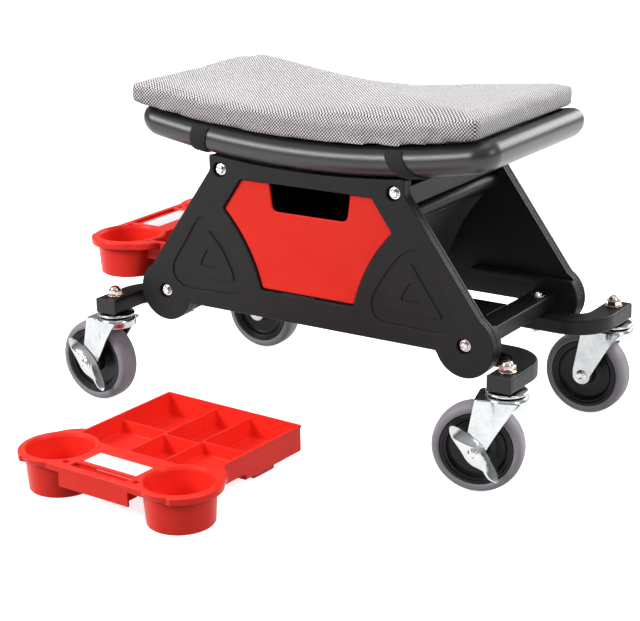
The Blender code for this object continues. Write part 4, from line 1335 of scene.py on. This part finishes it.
def pedal_sheet():
    """A brake pedal: a middle plate whose long edge folds back into two wings."""
    rows, plate_columns, wing_columns = 66, 6, 8
    points = []
    width = plate_columns + wing_columns + 1
    for row in range(rows + 1):
        share = row / rows
        near, fold, far = [spline_along(line, share) for line in (PEDAL_NEAR, PEDAL_FOLD, PEDAL_FAR)]
        end = math.sin(math.pi * share) ** 0.5
        for column in range(width):
            if column <= plate_columns:
                spot = near.lerp(fold, column / plate_columns)
                back = 0.0
            else:
                part = (column - plate_columns) / wing_columns
                spot = fold.lerp(far, part)
                back = 0.0064 * end * part
            curl = 0.0012 * (1.0 - min(1.0, column / 2.0)) * (1.0 - end)
            points.append((spot.x, PEDAL_FACE - back - curl, spot.y))
    mesh = bpy.data.meshes.new("sheet")
    mesh.from_pydata(points, [], bands(rows + 1, width, False))
    helper = linked("sheet", mesh)
    thick = helper.modifiers.new("thick", "SOLIDIFY")
    thick.thickness = 0.0014
    thick.offset = 1.0 if mesh.polygons[rows * 5].normal.y < 0.0 else -1.0
    soft = helper.modifiers.new("soft", "BEVEL")
    soft.width = 0.0004
    soft.segments = 2
    soft.limit_method = "ANGLE"
    soft.angle_limit = math.radians(50.0)
    result = applied(helper)
    return Shape().add([vertex.co.copy() for vertex in result.vertices],
                       [list(face.vertices) for face in result.polygons])


def pedal(name, body, at, outside):
    """The pedal on its hub; the wings always point the same way, seen from outside."""
    shape = pedal_sheet()
    hub = lathe(eased([(0.0046, 0.0204), (0.0068, 0.0204), (0.0068, PEDAL_FACE - 0.0008),
                       (0.0046, PEDAL_FACE - 0.0008)], 0.0003, 2), 32, "Y")
    shape.merge(hub)
    if outside > 0:
        shape.place(Matrix.Scale(-1.0, 4, (1.0, 0.0, 0.0)))
    else:
        shape.place(towards(-1))
    piece(name + "_pedal", shape, ZINC, body, [name + "_brake_pedal"], at, sharp=50.0)


def caster(name):
    """A caster, turned to where its wheel trails."""
    stem = joint_at(name + "_caster_swivel")
    hub = joint_at(name + "_wheel_spin")
    trail = math.atan2(hub.y - stem.y, hub.x - stem.x)
    turn = Matrix.Rotation(trail, 4, "Z")
    stem_at = Matrix.Translation((stem.x, stem.y, 0.0))
    swivel_plate(name, stem_at)
    stem_nut(name, stem_at, {"front_left": 12.0, "front_right": 33.0}.get(name, 5.0))
    piece(name + "_yoke", united(fork_shape()), ZINC, name + "_swivel", [name + "_fork"],
          stem_at @ turn, sharp=40.0)
    at = Matrix.Translation(hub) @ turn
    wheel_core(name, name + "_wheel", at)
    tyre(name, name + "_wheel", at)
    outside = 1 if math.cos(trail) < 0.0 else -1
    axle(name, name + "_swivel", at, outside, name in BRAKED)
    if name in BRAKED:
        pedal(name, name + "_brake", at, outside)


# --- trays ----------------------------------------------------------------------------
def tray_mesh():
    """A moulded tray: two cups, a deck with a slot, and divided compartments."""
    return united(tray_outside(tray_body()), tray_bores())


def tray_body():
    """The divided body under the deck, hollowed out before the cups go in."""
    high, half, wall = TRAY_TOP, TRAY_HALF, TRAY_WALL
    floor, back, front = TRAY_FLOOR, TRAY_BACK, TRAY_FRONT
    slim = half - 0.0009
    outline = rounded(rectangle((-slim, slim), (front, back - 0.0010)), [0.0, 0.0, 0.0030, 0.0030], 5)
    parts = [plate([outline], floor, DECK_TOP - 0.0002, 0.0006, 0.0018, 4)]
    lip = rounded(rectangle((-half, half), (0.0500, back)), [0.0, 0.0, 0.0036, 0.0036], 5)
    parts.append(plate([lip], high - 0.0034, DECK_TOP + 0.0001, 0.0009, 0.0007, 4))
    parts.append(plate([deck_outline()], high - 0.0088, DECK_TOP, 0.0020, 0.0008, 5))
    parts.append(softened(block((-0.0505, 0.0475), (-0.0396, -0.0368), (0.0210, high - 0.0040)),
                          0.0006, 2))
    cuts = []
    for side in (-1, 1):
        parts.append(softened(block(sorted((side * 0.0640, side * 0.0805)), (0.1270, 0.1640),
                                    (0.0, floor + 0.0030)), 0.0024, 3))
        arch = softened(block(sorted((side * 0.0775, side * (half + 0.0100))), (0.0270, 0.0940),
                              (floor - 0.0100, 0.0224)), 0.0030, 3)
        cuts.append(arch)
    inner = CUP_X - 0.0385
    cuts.append(softened(block((-inner, inner), (-0.0364, front - 0.0001),
                               (0.0100, high - wall - 0.0004)), 0.0030, 3))
    columns = ((-half + 0.0034, -0.0260), (-0.0240, 0.0240), (0.0260, half - 0.0034))
    for index, column in enumerate(columns):
        front_floor = floor + wall if index == 1 else 0.0246
        wall_y = 0.1010 if index == 1 else 0.1080
        cuts.append(tapered_block(column, (front + 0.0024, wall_y - 0.0011), front_floor, 0.0500))
        cuts.append(tapered_block(column, (wall_y + 0.0011, back - 0.0036), floor + wall, 0.0500))
    cuts.append(softened(block((-half + 0.0036, half - 0.0036), (front + 0.0040, back - 0.0038),
                               (0.0390, 0.0600)), 0.0012, 2))
    return united(parts, cuts)


def tray_outside(body):
    """The body with its two cups, each with a rim all the way round."""
    high = TRAY_TOP
    trough = softened(block((-0.0425, 0.0425), (-0.0360, -0.0190), (0.0240, high - 0.0040)), 0.0008, 2)
    parts = [body, trough]
    for side in (-1, 1):
        cup = lathe(eased([(0.0, 0.0), (0.0350, 0.0), (0.0364, 0.0014), (0.0388, 0.0366),
                           (0.0400, 0.0378), (0.0436, 0.0388), (0.0440, high - 0.0012),
                           (0.0426, high), (0.0, high)], 0.0014, 4), 96)
        parts.append(cup.place(Matrix.Translation((side * CUP_X, 0.0, 0.0))))
    return parts


def tray_bores():
    """What is cut from the cups and the deck."""
    high = TRAY_TOP
    cuts = []
    for side in (-1, 1):
        bore = lathe(eased([(0.0, 0.0022), (0.0322, 0.0022), (0.0342, 0.0046), (0.0364, high - 0.0036),
                            (0.0376, high - 0.0012), (0.0396, high + 0.0030), (0.0, high + 0.0030)],
                           0.0020, 4), 96)
        cuts.append(bore.place(Matrix.Translation((side * CUP_X, 0.0, 0.0))))
        pen = lathe([(0.0, 0.0200), (0.0042, 0.0200), (0.0042, high - 0.0010), (0.0054, high + 0.0006),
                     (0.0, high + 0.0006)], 28)
        cuts.append(pen.place(Matrix.Translation((side * 0.0495, -0.0270, 0.0))))
    slot = rounded(rectangle((-0.0400, 0.0400), (-0.0325, -0.0215)), 0.0020, 5)
    cuts.append(plate([slot], 0.0260, high + 0.0006, 0.0, 0.0, 1))
    return cuts


def tapered_block(x_span, y_span, low, high):
    """A compartment's hollow, with drawn sides and a rounded foot."""
    draft = 0.0006
    foot = rounded(rectangle((x_span[0] + draft, x_span[1] - draft), (y_span[0] + draft, y_span[1] - draft)),
                   0.0025, 4)
    mouth = rounded(rectangle(x_span, y_span), 0.0025, 4)
    points = [(x, y, low) for x, y in offset(foot, 0.0014)]
    points += [(x, y, low + 0.0014) for x, y in foot]
    points += [(x, y, high) for x, y in mouth]
    count = len(foot)
    ends = [list(range(count)), list(range(2 * count, 3 * count))]
    return Shape().add(points, ends + bands(3, count))


def deck_outline():
    """The tray's rim around its cups, from the front to the body's sides."""
    front = math.degrees(math.asin(FLANGE_FRONT / FLANGE_RADIUS))
    cup_edge = arc((CUP_X, 0.0), FLANGE_RADIUS, front - 6.0, 40.0, 40)
    neck = (TRAY_HALF, 0.0560)
    half = cup_edge + bowed(cup_edge[-1], neck, -0.0034, 10) + [neck]
    ease = rounded([(0.030, FLANGE_FRONT), (half[0][0] - 0.0045, FLANGE_FRONT), half[1]],
                   [0.0, 0.02, 0.0], 6)
    right = [(0.0, FLANGE_FRONT)] + ease[:-1] + half[1:]
    return thinned(mirrored(right))


def trays():
    """The tray that is pushed in at the left end, and the one on the floor."""
    mesh = tray_mesh()
    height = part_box("left_tray")[0].z
    pushed_in = Matrix.Translation((STOOL.x - 0.2780, STOOL.y, height))
    pushed_in = pushed_in @ Matrix.Rotation(-math.pi / 2, 4, "Z")
    loose = Matrix.Translation((STOOL.x - 0.0680, STOOL.y - 0.3690, 0.0))
    loose = loose @ Matrix.Rotation(math.radians(-2.4), 4, "Z")
    outline = rounded(rectangle((-0.0345, 0.0395), (-0.0160, 0.0100)), 0.0012, 3)
    for name, node, place in (("inner_tray", "left_tray", pushed_in), ("floor_tray", "loose_tray", loose)):
        piece(name, mesh.copy(), RED, node, [node], place, sharp=32.0)
        label = plate([outline], DECK_TOP - 0.0001, DECK_TOP + 0.0003, 0.0001, 0.0, 1)
        piece(name + "_label", label, LABEL, node, (), place)


# --- stage ------------------------------------------------------------------------------
def stage():
    """A pale floor, a sky that is brighter above, and four soft lights."""
    floor = bpy.data.meshes.new("floor")
    span = (-40.0, 40.0)
    floor.from_pydata([(x, y, 0.0) for x, y in rectangle(span, span)], [], [(0, 1, 2, 3)])
    ground = linked("floor", floor)
    ground.location.z = -0.0002
    finish = Finish("studio_floor", (0.90, 0.90, 0.90), 0.9)
    finish.put("Specular IOR Level", 0.1)
    finish.put("Emission Color", (1.0, 1.0, 1.0, 1.0))
    finish.put("Emission Strength", 0.80)
    floor.materials.append(finish.made)
    ground.visible_diffuse = False
    world = bpy.data.worlds.new("studio")
    world.use_nodes = True
    tree = world.node_tree
    place = tree.nodes.new("ShaderNodeTexCoord")
    parts = tree.nodes.new("ShaderNodeSeparateXYZ")
    ramp = tree.nodes.new("ShaderNodeValToRGB")
    low, high = ramp.color_ramp.elements
    low.position, low.color = 0.0, (0.10, 0.10, 0.10, 1.0)
    high.position, high.color = 0.6, (0.74, 0.74, 0.75, 1.0)
    tree.links.new(place.outputs["Generated"], parts.inputs["Vector"])
    tree.links.new(parts.outputs["Z"], ramp.inputs["Fac"])
    tree.links.new(ramp.outputs["Color"], tree.nodes["Background"].inputs["Color"])
    SCENE.world = world
    for name, place, aim, size, power in LIGHTS:
        light = bpy.data.lights.new(name, "AREA")
        light.shape = "RECTANGLE"
        light.size, light.size_y = size
        light.energy = power
        made = linked(name, light)
        made.location = STOOL + Vector(place)
        way = STOOL + Vector(aim) - made.location
        made.rotation_euler = way.to_track_quat("-Z", "Y").to_euler()


def camera():
    """The camera: where it stands about the stool, and how it is turned."""
    back = Vector((math.sin(AROUND) * math.cos(ABOVE), -math.cos(AROUND) * math.cos(ABOVE),
                   math.sin(ABOVE)))
    right = Vector((math.cos(AROUND), math.sin(AROUND), 0.0))
    up = back.cross(right)
    turned_right = right * math.cos(ROLL) + up * math.sin(ROLL)
    turned_up = up * math.cos(ROLL) - right * math.sin(ROLL)
    data = bpy.data.cameras.new("camera")
    data.sensor_width = 36.0
    data.sensor_fit = "HORIZONTAL"
    data.lens = LENS
    data.clip_start = 0.01
    data.clip_end = 50.0
    made = linked("camera", data)
    turn = Matrix((turned_right, turned_up, back)).transposed().to_4x4()
    made.matrix_world = Matrix.Translation(STOOL + EYE) @ turn
    SCENE.camera = made


camera()
side_parts("front", -1)
side_parts("rear", 1)
drawer()
seat_pan()
cushion()
straps()
undercarriage()
arms()
dome_bolts()
for corner_name, _, _ in CORNERS:
    caster(corner_name)
trays()
stage()
SCENE.view_settings.view_transform = "Standard"
